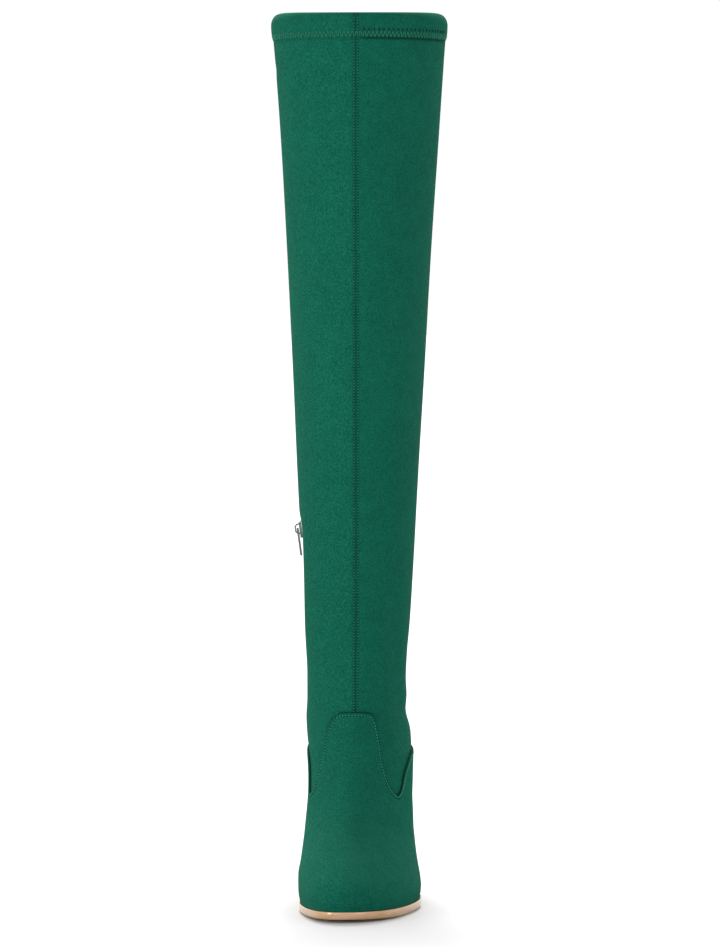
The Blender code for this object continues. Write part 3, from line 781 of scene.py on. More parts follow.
@dataclass(frozen=True)
class Canvas:
    """A material's nodes, while a pattern is added to them."""

    tree: bpy.types.NodeTree
    shader: Any
    place: Any

    def noise(self, size: float, detail: float = 3.0, rough: float = 0.55, warp: float = 0.0,
              place: Any = None) -> Any:
        """A noise pattern.

        Args:
            size: Size of a patch in metres.
            detail: Number of finer layers.
            rough: Strength of the finer layers.
            warp: How far the pattern is bent.
            place: Coordinates other than the piece's own.

        Returns:
            The pattern's output, from 0 to 1.
        """
        inputs = {
            "Vector": self.place if place is None else place, "Scale": 1 / size,
            "Detail": detail, "Roughness": rough, "Distortion": warp,
        }
        return add_node(self.tree, "ShaderNodeTexNoise", inputs).outputs["Fac"]

    def ramp(self, value: Any, *spread: float) -> Any:
        """A value spread from one range to another, from 0 to 1 by default, and held there."""
        inputs = {"Value": value, **dict(enumerate(spread, 1))}
        return add_node(self.tree, "ShaderNodeMapRange", inputs, clamp=True).outputs[0]

    def blend(self, share: Any, first: Any, second: str) -> Any:
        """A mix of a colour, as an output or a hex value, and a share of a second one."""
        ground = linear(first) if isinstance(first, str) else first
        inputs = {0: share, 6: ground, 7: linear(second)}
        return add_node(self.tree, "ShaderNodeMix", inputs, data_type="RGBA").outputs[2]

    def relief(self, height: Any, depth: float) -> None:
        """Adds relief of a depth in metres to the shader."""
        inputs = {"Height": height, "Distance": depth, "Strength": 1.0}
        bump = add_node(self.tree, "ShaderNodeBump", inputs)
        self.tree.links.new(bump.outputs["Normal"], self.shader.inputs["Normal"])

    def cover(self, colour: Any, height: Any, depth: float) -> None:
        """Gives the shader a pattern's colour and relief."""
        self.tree.links.new(colour, self.shader.inputs["Base Color"])
        self.relief(height, depth)


@dataclass(frozen=True)
class Finish:
    """A finish on one Principled shader. A pattern's colour and relief are added by each kind."""

    name: str
    colour: str
    roughness: float
    metallic: float = 0.0
    ior: float = 1.5
    sheen: float = 0.0
    sheen_colour: str = "#ffffff"
    sheen_roughness: float = 0.5
    coat: float = 0.0
    specular: float = 0.5

    def make(self) -> Material:
        """Builds the material.

        Returns:
            The material.
        """
        made = bpy.data.materials.new(self.name)
        made.use_nodes = True
        tree = made.node_tree
        shader = tree.nodes["Principled BSDF"]
        constants = {
            "Base Color": linear(self.colour), "Roughness": self.roughness,
            "Metallic": self.metallic, "IOR": self.ior, "Specular IOR Level": self.specular,
            "Sheen Weight": self.sheen, "Sheen Tint": linear(self.sheen_colour),
            "Sheen Roughness": self.sheen_roughness, "Coat Weight": self.coat,
        }
        for name, value in constants.items():
            shader.inputs[name].default_value = value
        place = add_node(tree, "ShaderNodeTexCoord", {}).outputs["Object"]
        self.pattern(Canvas(tree, shader, place))
        return made

    def pattern(self, canvas: Canvas) -> None:
        """Adds the finish's pattern. The plain finish has none."""

    def speckle(self, canvas: Canvas, value: Any, spread: tuple[float, ...], dark: str,
                depth: float) -> None:
        """Covers the finish with a pattern that darkens it and gives its relief.

        Args:
            canvas: The material's nodes.
            value: The pattern's output.
            spread: The range that the pattern is spread from, and the shares of the dark colour.
            dark: The dark colour.
            depth: The relief's depth.
        """
        colour = canvas.blend(canvas.ramp(value, *spread), self.colour, dark)
        canvas.cover(colour, value, depth)


@dataclass(frozen=True)
class BrushedSuede(Finish):
    """Faux suede, a sanded polyester microfibre knit: no gloss, a pale bloom at grazing angles, and
    blotches where the nap lies one way or the other."""

    dark: str = "#03352a"
    light: str = "#187058"
    # Colour of the painted shade in grooves, stitch rows and along overlapping edges.
    shade: str = "#011a12"
    drift: float = 70 * MM
    blotch: float = 9 * MM
    tuft: float = 1.5 * MM
    # The real fibres are about 0.02 mm; the grain is drawn this coarse so that it shows.
    grain: float = 0.9 * MM
    depth: float = 0.3 * MM
    # Places across the boot between which the pale tufts fade from full strength on the inner side,
    # which the key lamp lights, to weaker on the outer side: painted light.
    lit_side_until: float = -6 * MM
    shaded_side_from: float = 2 * MM

    def pattern(self, canvas: Canvas) -> None:
        """Adds blotches, tufts, grain and painted shade; the pale tufts are painted stronger on the
        inner side, as grazing light from that side would show them.
        """
        drift = canvas.noise(self.drift, 2.0, 0.5, 0.4)
        blotch = canvas.noise(self.blotch, 5.0, 0.68, 0.6)
        tuft = canvas.noise(self.tuft, 4.0, 0.7, 0.3)
        grain = canvas.noise(self.grain, 2.0, 0.6)
        tree = canvas.tree
        across = add_node(tree, "ShaderNodeSeparateXYZ", {0: canvas.place}).outputs["X"]
        # Painted light: the pale tufts are drawn stronger on the inner side, where the key lamp's
        # grazing light would bring them out.
        lit_side = canvas.ramp(across, self.lit_side_until, self.shaded_side_from, 1.0, 0.6)
        tufts = {0: canvas.ramp(tuft, 0.36, 0.64, 0.0, 1.0), 1: lit_side}
        strength = add_node(tree, "ShaderNodeMath", tufts, operation="MULTIPLY").outputs[0]
        colour = self.colour
        for value, spread, tone in (
            (drift, (0.3, 0.7, 0.16, 0.0), self.dark),
            (blotch, (0.42, 0.74, 0.0, 0.14), self.light),
            (blotch, (0.5, 0.28, 0.0, 0.14), self.dark),
            (strength, (0.35, 1.0, 0.0, 0.42), self.light),
            (grain, (0.54, 0.36, 0.0, 0.62), self.dark),
        ):
            colour = canvas.blend(canvas.ramp(value, *spread), colour, tone)
        # Painted shade, read from the mesh: darker in grooves, stitch rows and along overlapping
        # edges.
        painted_shade = add_node(tree, "ShaderNodeAttribute", {}, attribute_name=PAINTED_SHADE).outputs["Fac"]
        colour = canvas.blend(painted_shade, colour, self.shade)
        height = add_node(tree, "ShaderNodeMath", {0: tuft, 1: grain}, operation="ADD").outputs[0]
        canvas.cover(colour, height, self.depth)


@dataclass(frozen=True)
class SpunThread(Finish):
    """Spun polyester thread, dyed to match: a little darker and smoother than the nap, so the rows
    read as fine dark dashes."""

    twist: float = 0.5 * MM

    def pattern(self, canvas: Canvas) -> None:
        """Adds the twist's fine relief."""
        twist = canvas.noise(self.twist, 1.0)
        self.speckle(canvas, twist, (0.35, 0.65, 0.0, 0.35), "#000000", 0.05 * MM)


@dataclass(frozen=True)
class WoodPrintSole(Finish):
    """Moulded thermoplastic rubber, printed with a pale wood grain and lacquered: satin, warm tan,
    with streaks that run along the foot."""

    dark: str = "#866842"
    pink: str = "#bc9779"
    streak: float = 0.9 * MM
    run: float = 26 * MM
    cloud: float = 17 * MM

    def pattern(self, canvas: Canvas) -> None:
        """Adds streaks stretched along the edge, and a slow change towards pink."""
        stretch = {0: canvas.place, 1: (self.streak / self.run, self.streak / self.run, 1.0)}
        drawn = add_node(canvas.tree, "ShaderNodeVectorMath", stretch, operation="MULTIPLY")
        streak = canvas.noise(self.streak, 4.0, 0.6, 0.4, drawn.outputs[0])
        slow = canvas.ramp(canvas.noise(self.cloud, 1.0), 0.4, 0.6, 0.0, 0.8)
        ground = canvas.blend(slow, self.colour, self.pink)
        colour = canvas.blend(canvas.ramp(streak, 0.42, 0.72, 0.0, 0.7), ground, self.dark)
        canvas.cover(colour, streak, 0.04 * MM)


@dataclass(frozen=True)
class MouldedRubber(Finish):
    """Moulded rubber, buffed: matt, with a fine speckle."""

    speck: float = 0.8 * MM
    dark: str = "#4a2f1c"

    def pattern(self, canvas: Canvas) -> None:
        """Adds the speckle."""
        speck = canvas.noise(self.speck, 3.0)
        self.speckle(canvas, speck, (0.5, 0.75, 0.0, 0.3), self.dark, 0.08 * MM)


@dataclass(frozen=True)
class KnitCloth(Finish):
    """A knitted or woven cloth: fine ribs that break up the light."""

    rib: float = 0.9 * MM
    dark: str = "#101c18"

    def pattern(self, canvas: Canvas) -> None:
        """Adds ribs across the cloth."""
        inputs = {
            "Vector": canvas.place, "Scale": 0.32 / self.rib, "Distortion": 0.6, "Detail": 1.0,
        }
        wave = add_node(canvas.tree, "ShaderNodeTexWave", inputs, bands_direction="Z")
        self.speckle(canvas, wave.outputs["Fac"], (0.5, 0.0, 0.0, 0.5), self.dark, 0.15 * MM)


@dataclass(frozen=True)
class NickelPlate(Finish):
    """Nickel plate on a tumbled zinc casting: bright with soft edges and faint cloudy marks."""

    cloud: float = 2.5 * MM

    def pattern(self, canvas: Canvas) -> None:
        """Adds the cloudy marks to the roughness."""
        cloud = canvas.noise(self.cloud, 4.0)
        marks = canvas.ramp(cloud, 0.3, 0.7, 0.2, 0.36)
        canvas.tree.links.new(marks, canvas.shader.inputs["Roughness"])
        canvas.relief(cloud, 0.02 * MM)


@dataclass
class Finishes:
    """Every material of the boot."""

    def __post_init__(self) -> None:
        """Builds the materials."""
        nap = {"roughness": 0.95, "sheen": 0.07, "sheen_colour": "#3fae86", "sheen_roughness": 0.4,
               "specular": 0.05}
        thread = SpunThread
        self.suede = BrushedSuede("brushed_faux_suede", "#0b5140", **nap).make()
        self.heel = BrushedSuede("heel_faux_suede", "#084e3c", **nap).make()
        # Near-black thread for the upright ticks above the hem's zigzag: painted shade of the stitch
        # holes there, drawn as thread.
        self.thread = thread("hole_shade_thread", "#02150f", 0.7, specular=0.1).make()
        self.hem_thread = thread("textured_polyester_thread", "#1d6f57", 0.7, specular=0.2).make()
        self.throat_thread = thread("bright_polyester_thread", "#2f8a70", 0.6, specular=0.1).make()
        self.seam_thread = thread("glazed_polyester_thread", "#24806a", 0.6, specular=0.1).make()
        self.sole = WoodPrintSole("wood_print_rubber_sole", "#b28c60", 0.24, coat=0.5).make()
        self.rubber = MouldedRubber("buffed_rubber_toplift", "#8a5f3d", 0.75).make()
        self.lining = KnitCloth("brushed_knit_lining", "#1d3a31", 0.9, sheen=0.2).make()
        self.sock = MouldedRubber("pressed_fibre_sock", "#8f7a62", 0.85, speck=1.4 * MM).make()
        weave = {"rib": 0.7 * MM, "specular": 0.1}
        self.tape = KnitCloth("woven_polyester_tape", "#134a38", 0.85, **weave).make()
        self.coil = thread("moulded_nylon_coil", "#12503c", 0.55, specular=0.15).make()
        self.nickel = NickelPlate("nickel_plated_zinc", "#5a6b63", 0.28, metallic=1.0).make()


# ---- The boot's cloth ----------------------------------------------------------------------------
@dataclass(frozen=True)
class Line:
    """A soft line on the cloth: how deep or how dark it is, and how wide."""

    strength: float
    width: float

    def at(self, away: Array) -> Array:
        """The line's strength at distances from its middle."""
        return self.strength * bell(away, self.width)


@dataclass(frozen=True)
class Crease:
    """A soft trough or ridge on the cloth, between two places given by s and height."""

    start: tuple[float, float]
    end: tuple[float, float]
    depth: float
    width: float
    fading: float = 0.35

    def relief(self, s: Array, z: Array, girth: float) -> Array:
        """The crease's relief.

        Args:
            s: Places round the boot.
            z: Heights.
            girth: Metres round the boot for one unit of s.

        Returns:
            Distances along the cloth's outward direction, below 0 in a trough.
        """
        line = np.array([(self.end[0] - self.start[0]) * girth, self.end[1] - self.start[1]])
        length = float(np.hypot(*line))
        across = wrapped(s - self.start[0]) * girth
        up = z - self.start[1]
        ahead = (across * line[0] + up * line[1]) / length
        aside = (across * line[1] - up * line[0]) / length
        fade = held(np.minimum(ahead, length - ahead) / (self.fading * length) + 0.5)
        return -self.depth * eased(fade) * bell(aside, self.width)


class Stretch(IntEnum):
    """The stretches of columns round the boot."""

    OUTER = 0
    FRONT = 1
    SLOT = 2
    BACK = 3


@dataclass
class Ring:
    """Columns round the boot, set out from the front seam, the zip's slot and the back seam.

    The steps are the distances of the first columns from a seam or from the slot's edge.
    """

    form: BootForm
    slot: float = 7 * MM
    step: float = 2.2 * MM
    seam_steps_mm: tuple[float, ...] = (0.0, 0.4, 0.8, 1.25, 1.75, 2.3, 3.1, 4.2)
    slot_steps_mm: tuple[float, ...] = (0.0, 0.25, 0.6, 1.1, 1.7, 2.4, 3.3)
    slot_spans: int = 4
    nominal: float = 150 * MM
    foot_slot: float = 0.03

    def __post_init__(self) -> None:
        """Lists the columns: which stretch each is in and how far along it, from the back."""
        seam = np.array(self.seam_steps_mm) * MM
        edge = np.array(self.slot_steps_mm) * MM
        half = self.nominal / 2
        quarter = np.linspace(seam[-1], half - edge[-1], round(half / self.step) + 1)[1:-1]
        inner = np.concatenate([seam, quarter, (half - edge)[::-1]]) / half
        outer = graded(self.nominal, self.step, seam)
        slot = np.linspace(0, 1, self.slot_spans + 1)[1:-1]
        pieces = (
            (Stretch.BACK, inner), (Stretch.SLOT, slot),
            (Stretch.FRONT, inner[::-1]), (Stretch.OUTER, outer[1:-1]),
        )
        codes = [np.full(len(places), int(code)) for code, places in pieces]
        self.stretch = np.concatenate(codes)
        self.share = np.concatenate([places for _, places in pieces])
        in_slot = self.stretch == Stretch.SLOT
        self.in_slot = in_slot | np.roll(in_slot, -1)

    def even(self) -> Array:
        """s of the columns where no slot parts them."""
        return self._set_out(-0.5 + self.foot_slot, -0.5 - self.foot_slot)

    def at(self, v: Array) -> Array:
        """s of the columns beside the slot, for levels by column and row."""
        half = self.slot / 2
        return self._set_out(self.form.zip_s(v, half), self.form.zip_s(v, -half))

    def beside(self, s: Array, v: Array) -> Array:
        """Distances from the slot's edge, below 0 inside the slot."""
        return self.form.from_zip(s, v) - self.slot / 2

    def _set_out(self, front: Any, back: Any) -> Array:
        """s of the columns for a slot's two edges."""
        shape = (-1,) + (1,) * max(np.ndim(front) - 1, 0)
        stretch = self.stretch.reshape(shape)
        share = self.share.reshape(shape)
        places = {
            Stretch.BACK: -1 + (back + 1) * share,
            Stretch.SLOT: back + (front - back) * share,
            Stretch.FRONT: front * share,
        }
        return np.select([stretch == code for code in places], list(places.values()), share)


@dataclass
class Stitches:
    """Rows of stitches on the cloth. Each stitch is a bent bar whose ends go into the cloth."""

    form: BootForm
    cloth: Callable[[Array, Array, Array], Array]
    length: float = 1.05 * MM
    gap: float = 1.0 * MM
    radius: float = 0.27 * MM
    lift: float = 0.16 * MM
    sink: float = 0.3 * MM
    paths: list[Array] = field(default_factory=list)

    def on_cloth(self, s: Array, v: Array, lift: Any = 0.0) -> Array:
        """Points at a distance above the cloth's face."""
        z = self.form.point(s, v)[..., 2]
        return self.form.skin(s, v, self.cloth(s, v, z) + lift)

    def arch(self, shoulder: float) -> Array:
        """Heights of a stitch's five points above the cloth, with its ends sunk into it."""
        side = [-self.sink, self.lift * shoulder]
        return np.array([*side, self.lift, *side[::-1]])

    def add(self, s: Array, z: Array) -> None:
        """Adds one stitch through five places given by s and height."""
        self.paths.append(self.on_cloth(s, self.form.level_at(s, z), self.arch(0.7)))

    def row(self, s: Array, v: Array) -> None:
        """Adds a row along a line on the cloth.

        Args:
            s: Places of the line's points.
            v: Their levels.
        """
        line = self.on_cloth(s, v)
        run = run_along(line)
        pitch = self.length + self.gap
        starts = self.gap / 2 + pitch * np.arange(int(run[-1] // pitch))
        places = starts[:, None] + self.length * np.array([0.0, 0.2, 0.5, 0.8, 1.0])
        points, away = (
            np.stack([np.interp(places, run, values[:, axis]) for axis in range(3)], axis=-1)
            for values in (line, self.form.normal(s, v))
        )
        self.paths.extend(points + self.arch(0.6)[:, None] * unit(away))

    def ticks(self, height: float, half: float, pitch: float, ends: tuple[float, float]) -> None:
        """Adds a row of short upright stitches.

        Args:
            height: The row's middle.
            half: Half its width.
            pitch: Distance between two stitches.
            ends: s of the row's ends.
        """
        s = np.linspace(*ends, 400)
        run = run_along(self.form.point(s, self.form.level_at(s, height)))
        for place in np.arange(pitch / 2, run[-1], pitch):
            side = np.full(5, np.interp(place, run, s))
            self.add(side, height + half * np.linspace(-1, 1, 5))

    def zigzag(self, height: float, half: float, pitch: float) -> None:
        """Adds a zigzag row round the leg.

        Args:
            height: The row's middle.
            half: Half its width.
            pitch: Distance between two peaks.
        """
        s = np.linspace(-1, 1, 2001)
        run = run_along(self.form.point(s, self.form.level_at(0.5, height)))
        legs = 2 * round(run[-1] / pitch)
        shares = np.array([0.0, 0.15, 0.5, 0.85, 1.0])
        for k in range(legs):
            first, last = np.array([k + 0.1, k + 0.9]) * run[-1] / legs
            side = np.interp(first + (last - first) * shares, run, s)
            self.add(side, height + half * (1 - 2 * shares) * (1 if k % 2 else -1))

    def build(self, name: str, thread: Material) -> None:
        """Builds all the rows as one piece in a thread."""
        dress(bars(name, self.paths, self.radius), Slot.SUEDE, thread)


@dataclass
class Shaft:
    """The stretch leg: two panels joined by a front and a back seam, slotted for the zip, with a
    turned hem on top."""

    form: BootForm
    ring: Ring
    wall: float = 1.3 * MM
    lap: float = 8 * MM
    slot_rows_from: float = 115 * MM
    row_step: float = 2.9 * MM
    # The hem: its wall and height, how far below the top it is sewn, and its curled top.
    hem_wall: float = 2.6 * MM
    hem_height: float = 16 * MM
    hem_stitch_below: float = 15 * MM
    hem_bulge: float = 1.0 * MM
    hem_bulge_over: float = 5 * MM
    hem_rise: float = 1.5 * MM
    hem_curl: float = 6.8 * MM
    hem_curl_height: float = 7.5 * MM
    hem_curl_front: float = 0.25
    hem_curl_reach: float = 0.98
    rim_round: float = 1.3 * MM
    # The slot's edge and the rows of stitches.
    edge_round: float = 0.6 * MM
    edge_fall: float = 0.35 * MM
    row_offset: float = 1.4 * MM
    ridge_offset: float = 0.7 * MM
    zip_stitch: float = 3.2 * MM
    hem_zigzag: float = 2.2 * MM
    zigzag_pitch: float = 2.9 * MM
    # Upright ticks above the zigzag in near-black thread: painted shade of the stitch holes, drawn
    # as thread.
    hole_shade_above: float = 1.2 * MM
    hole_shade_half: float = 1.0 * MM
    hole_shade_pitch: float = 3.5 * MM
    hole_shade_ends: tuple[float, float] = (0.02, 0.42)
    # The hem's uneven ripple: its waves for one unit of s, and how far the slow one bends the first.
    ripple_waves: tuple[float, float, float] = (171.0, 23.0, 103.0)
    ripple_bend: float = 2.1
    ripple_second: float = 0.6
    # How dark the painted shade along the hem's stitching is all round, and how much more so where
    # it is folded tightly.
    hem_shade: tuple[float, float] = (0.12, 0.2)
    hem_shadow: tuple[float, float] = (0.2, 0.5)
    hem_shadow_below: float = 0.6 * MM
    hem_shadow_width: float = 1.0 * MM
    # Soft lines of the relief.
    seam: Line = Line(0.35 * MM, 0.6 * MM)
    seam_row: Line = Line(0.22 * MM, 0.5 * MM)
    seam_ridge: Line = Line(0.12 * MM, 0.4 * MM)
    zip_row: Line = Line(0.2 * MM, 0.6 * MM)
    hem_groove: Line = Line(0.3 * MM, 2.6 * MM)
    hem_ripple: Line = Line(0.13 * MM, 7 * MM)
    # Soft lines of painted shade: in the seams' grooves and stitch rows, and on the leg along the
    # upper's overlapping edge.
    seam_shade: Line = Line(0.55, 0.4 * MM)
    row_shade: Line = Line(0.78, 0.5 * MM)
    throat_edge_shade: Line = Line(0.8, 0.8 * MM)
    throat_shade: Line = Line(0.25, 2.4 * MM)
    crease_girth: float = 150 * MM
    creases: tuple[Crease, ...] = (
        Crease((0.06, 0.598), (0.34, 0.593), 0.55 * MM, 3.0 * MM),
        Crease((0.05, 0.590), (0.20, 0.572), 0.5 * MM, 5.0 * MM),
        Crease((0.20, 0.586), (0.42, 0.560), 0.45 * MM, 6.0 * MM),
        Crease((-0.30, 0.590), (-0.55, 0.580), 0.35 * MM, 4.0 * MM),
        Crease((0.16, 0.545), (0.24, 0.400), 0.7 * MM, 11.0 * MM),
        Crease((0.10, 0.380), (0.14, 0.250), 0.45 * MM, 9.0 * MM),
        Crease((-0.18, 0.480), (-0.10, 0.330), -0.4 * MM, 10.0 * MM),
        Crease((0.20, 0.215), (0.26, 0.120), 0.9 * MM, 7.0 * MM),
        Crease((0.08, 0.200), (0.05, 0.140), -0.4 * MM, 5.0 * MM),
        Crease((-0.12, 0.190), (-0.20, 0.135), 0.5 * MM, 6.0 * MM),
        Crease((0.62, 0.190), (0.92, 0.168), 0.8 * MM, 4.5 * MM),
        Crease((0.60, 0.172), (0.90, 0.152), -0.5 * MM, 4.0 * MM),
        Crease((-0.95, 0.186), (-0.68, 0.178), 0.7 * MM, 4.5 * MM),
        Crease((0.70, 0.400), (0.95, 0.385), 0.7 * MM, 8.0 * MM),
        Crease((-0.95, 0.392), (-0.72, 0.410), 0.6 * MM, 8.0 * MM),
        Crease((0.66, 0.372), (0.90, 0.352), -0.5 * MM, 8.0 * MM),
        Crease((0.22, 0.157), (0.78, 0.154), -1.2 * MM, 14.0 * MM),
        Crease((0.22, 0.128), (0.78, 0.125), 1.6 * MM, 8.0 * MM),
    )

    @property
    def hem_line(self) -> float:
        """Height of the hem's stitching."""
        return self.form.boot_height - self.hem_stitch_below

    def relief(self, s: Array, v: Array, z: Array) -> Array:
        """How far the cloth's face stands out of the plain form.

        Args:
            s: Places round the leg.
            v: Levels.
            z: Heights.

        Returns:
            Distances.
        """
        total = np.zeros(np.broadcast(s, v).shape)
        for away in (self.form.from_front(s, v), self.form.from_back(s, v)):
            total -= self.seam.at(away)
            total -= self.seam_row.at(away - self.row_offset)
            total += self.seam_ridge.at(away - self.ridge_offset)
        low = held((self.form.zip_top + 2 * MM - z) / (4 * MM)) * (s < 0)
        total -= self.zip_row.at(self.ring.beside(s, v) - self.zip_stitch) * low
        stitch = z - self.hem_line
        total -= self.hem_groove.at(stitch)
        total += self.hem_bulge * held(stitch / self.hem_bulge_over + 0.5)
        # The ripple that the zigzag's pull leaves in the hem, uneven round the leg.
        fast, slow, second = (s * wave for wave in self.ripple_waves)
        ripple = np.sin(fast + self.ripple_bend * np.sin(slow)) + self.ripple_second * np.sin(second)
        total += self.hem_ripple.at(stitch) * ripple
        return total + self.folds(s, z)

    def folds(self, s: Array, z: Array) -> Array:
        """The creases' relief, which the whole wall follows."""
        return sum(crease.relief(s, z, self.crease_girth) for crease in self.creases)

    def curl(self, s: Array, z: Array) -> Array:
        """How far the hem's top rolls in, most at the sides."""
        over = held(1 - (self.form.boot_height - z) / self.hem_curl_height)
        share = self.hem_curl_front + (1 - self.hem_curl_front) * np.sin(math.pi * s) ** 2
        return self.hem_curl * (1 - np.sqrt(1 - self.hem_curl_reach * over**2)) * share

    def face(self, s: Array, v: Array, z: Array) -> Array:
        """Distances of the cloth's face from the plain form, for the stitches."""
        return self.relief(s, v, z) - self.curl(s, z)

    def painted_shade(self, s: Array, v: Array, z: Array) -> Array:
        """Painted shade along the seams' grooves and stitch rows, the hem's stitching and the
        upper's overlapping edge.

        Args:
            s: Places round the leg.
            v: Levels.
            z: Heights.

        Returns:
            Shares from 0 to 1.
        """
        total = np.zeros(np.broadcast(s, v).shape)
        for away in (self.form.from_front(s, v), self.form.from_back(s, v)):
            total += self.seam_shade.at(away) + self.row_shade.at(away - self.row_offset)
        below = self.form.below_throat(s, z)
        total += self.throat_edge_shade.at(below) + self.throat_shade.at(below)
        # Painted shade along the hem's stitching and below its zigzag, stronger on the outer panel's
        # front, where the hem is folded more tightly.
        fold_shade = held(s / 0.04) * held((0.5 - s) / 0.08)
        stitch = z - self.hem_line
        below_row = stitch + self.hem_zigzag + self.hem_shadow_below
        for (plain, more), away, width in (
            (self.hem_shade, stitch, self.hem_groove.width),
            (self.hem_shadow, below_row, self.hem_shadow_width),
        ):
            total += (plain + more * fold_shade) * bell(away, width)
        return total

    def grid(self) -> tuple[Array, Array, int]:
        """Lays out the columns and rows.

        Returns:
            s and v by column and row, and the number of the row at the slot's top.
        """
        form, ring = self.form, self.ring
        top_level = float(form.zip_level(form.zip_top))
        count = round((form.zip_top - self.slot_rows_from) / self.row_step)
        share = np.linspace(0, 1, count + 1)[None, :]
        s = np.repeat(ring.even()[:, None], count + 1, axis=1)
        for _ in range(SETTLING):
            throat = form.level_at(s, form.throat_z(s))
            v = throat + (top_level - throat) * share
            s = ring.at(v)
        lap_s = s[:, :1]
        for _ in range(SETTLING):
            lap_v = form.level_at(lap_s, form.throat_z(lap_s) - self.lap)
            lap_s = ring.at(lap_v)
        top, stitch = form.boot_height, self.hem_line
        # Coarse rows up the leg, fine ones at the hem's stitching and the finest over its rim.
        heights = np.concatenate([
            np.arange(form.zip_top + self.row_step, stitch - 8 * MM, self.row_step),
            np.arange(stitch - 7 * MM, stitch + 4 * MM, 1 * MM),
            np.arange(stitch + 5 * MM, top - 1.6 * MM, 1.8 * MM),
            top - np.array([1.3, 0.8, 0.4, 0.12, 0.0]) * MM,
        ])
        v_above = np.repeat(form.level_at(0.0, heights)[None, :], len(s), axis=0)
        s_rows = np.concatenate([lap_s, s, ring.at(v_above)], axis=1)
        return s_rows, np.concatenate([lap_v, v, v_above], axis=1), count + 1

    def build(self, finishes: Finishes) -> None:
        """Builds and dresses the leg.

        Args:
            finishes: The boot's materials.
        """
        s, v, slot_rows = self.grid()
        z = self.form.point(s, v)[..., 2]
        below_top = self.form.boot_height - z
        thick = np.where(below_top < self.hem_height + 1e-6, self.hem_wall, self.wall)
        turn = self.hem_wall / 2 * rolled(held(1 - below_top / self.rim_round))
        slotted = (z < self.form.zip_top) * (s < 0)
        at_edge = held(1 - self.ring.beside(s, v) / self.edge_round) * slotted
        relief = self.relief(s, v, z)
        relief[:, 0] = np.minimum(relief[:, 0], 0.0)
        curl = self.curl(s, z)
        outer = self.form.skin(s, v, relief - turn - curl - self.edge_fall * at_edge**2)
        inner = self.form.skin(s, v, self.folds(s, z) + turn - thick - curl)
        rise = self.hem_rise * np.sin(math.pi * s) ** 2
        rise = rise * held(1 - below_top / self.hem_stitch_below)
        outer[..., 2] += rise
        inner[..., 2] += rise
        keep = np.ones((len(s), s.shape[1] - 1), bool)
        keep[np.ix_(self.ring.in_slot, np.arange(s.shape[1] - 1) < slot_rows)] = False
        made = shell("shaft_cloth", outer, inner, keep, self.painted_shade(s, v, z))
        dress(made, Slot.SUEDE, finishes.suede, finishes.lining)
        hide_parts("shaft")

    def sew(self, finishes: Finishes) -> None:
        """Adds the seams' twin rows, the hem's zigzag and the rows beside the zip.

        Args:
            finishes: The boot's materials.
        """
        form = self.form
        seams = Stitches(form, self.face)
        high = float(form.level_at(0.0, form.boot_height - 1.5 * MM))
        for side in (-1, 1):
            for seam_s in (0.0, 1.0):
                low = float(form.level_at(seam_s, form.throat_z(seam_s) + 0.5 * MM))
                levels = np.linspace(low, high, 500)
                offset = self.row_offset / form.girth(seam_s, levels)
                seams.row(side * np.abs(seam_s - offset), levels)
        seams.build("seam_stitches", finishes.seam_thread)
        hem = Stitches(form, self.face, radius=0.3 * MM)
        hem.zigzag(self.hem_line, self.hem_zigzag, self.zigzag_pitch)
        hem.build("hem_zigzag", finishes.hem_thread)
        # Near-black ticks above the zigzag: painted shade of the stitch holes, drawn as thread.
        hole_shade = Stitches(form, self.face, radius=0.34 * MM)
        height = self.hem_line + self.hem_zigzag + self.hole_shade_above
        hole_shade.ticks(height, self.hole_shade_half, self.hole_shade_pitch, self.hole_shade_ends)
        hole_shade.build("hem_hole_shade_ticks", finishes.thread)
        beside = Stitches(form, self.face)
        start = float(form.zip_level(form.throat_z(-0.5) + 1.5 * MM))
        levels = np.linspace(start, float(form.zip_level(form.zip_top + 1 * MM)), 300)
        for side in (-1, 1):
            places = form.zip_s(levels, side * (self.ring.slot / 2 + self.zip_stitch))
            beside.row(places, levels)
        beside.build("zip_topstitch", finishes.seam_thread)


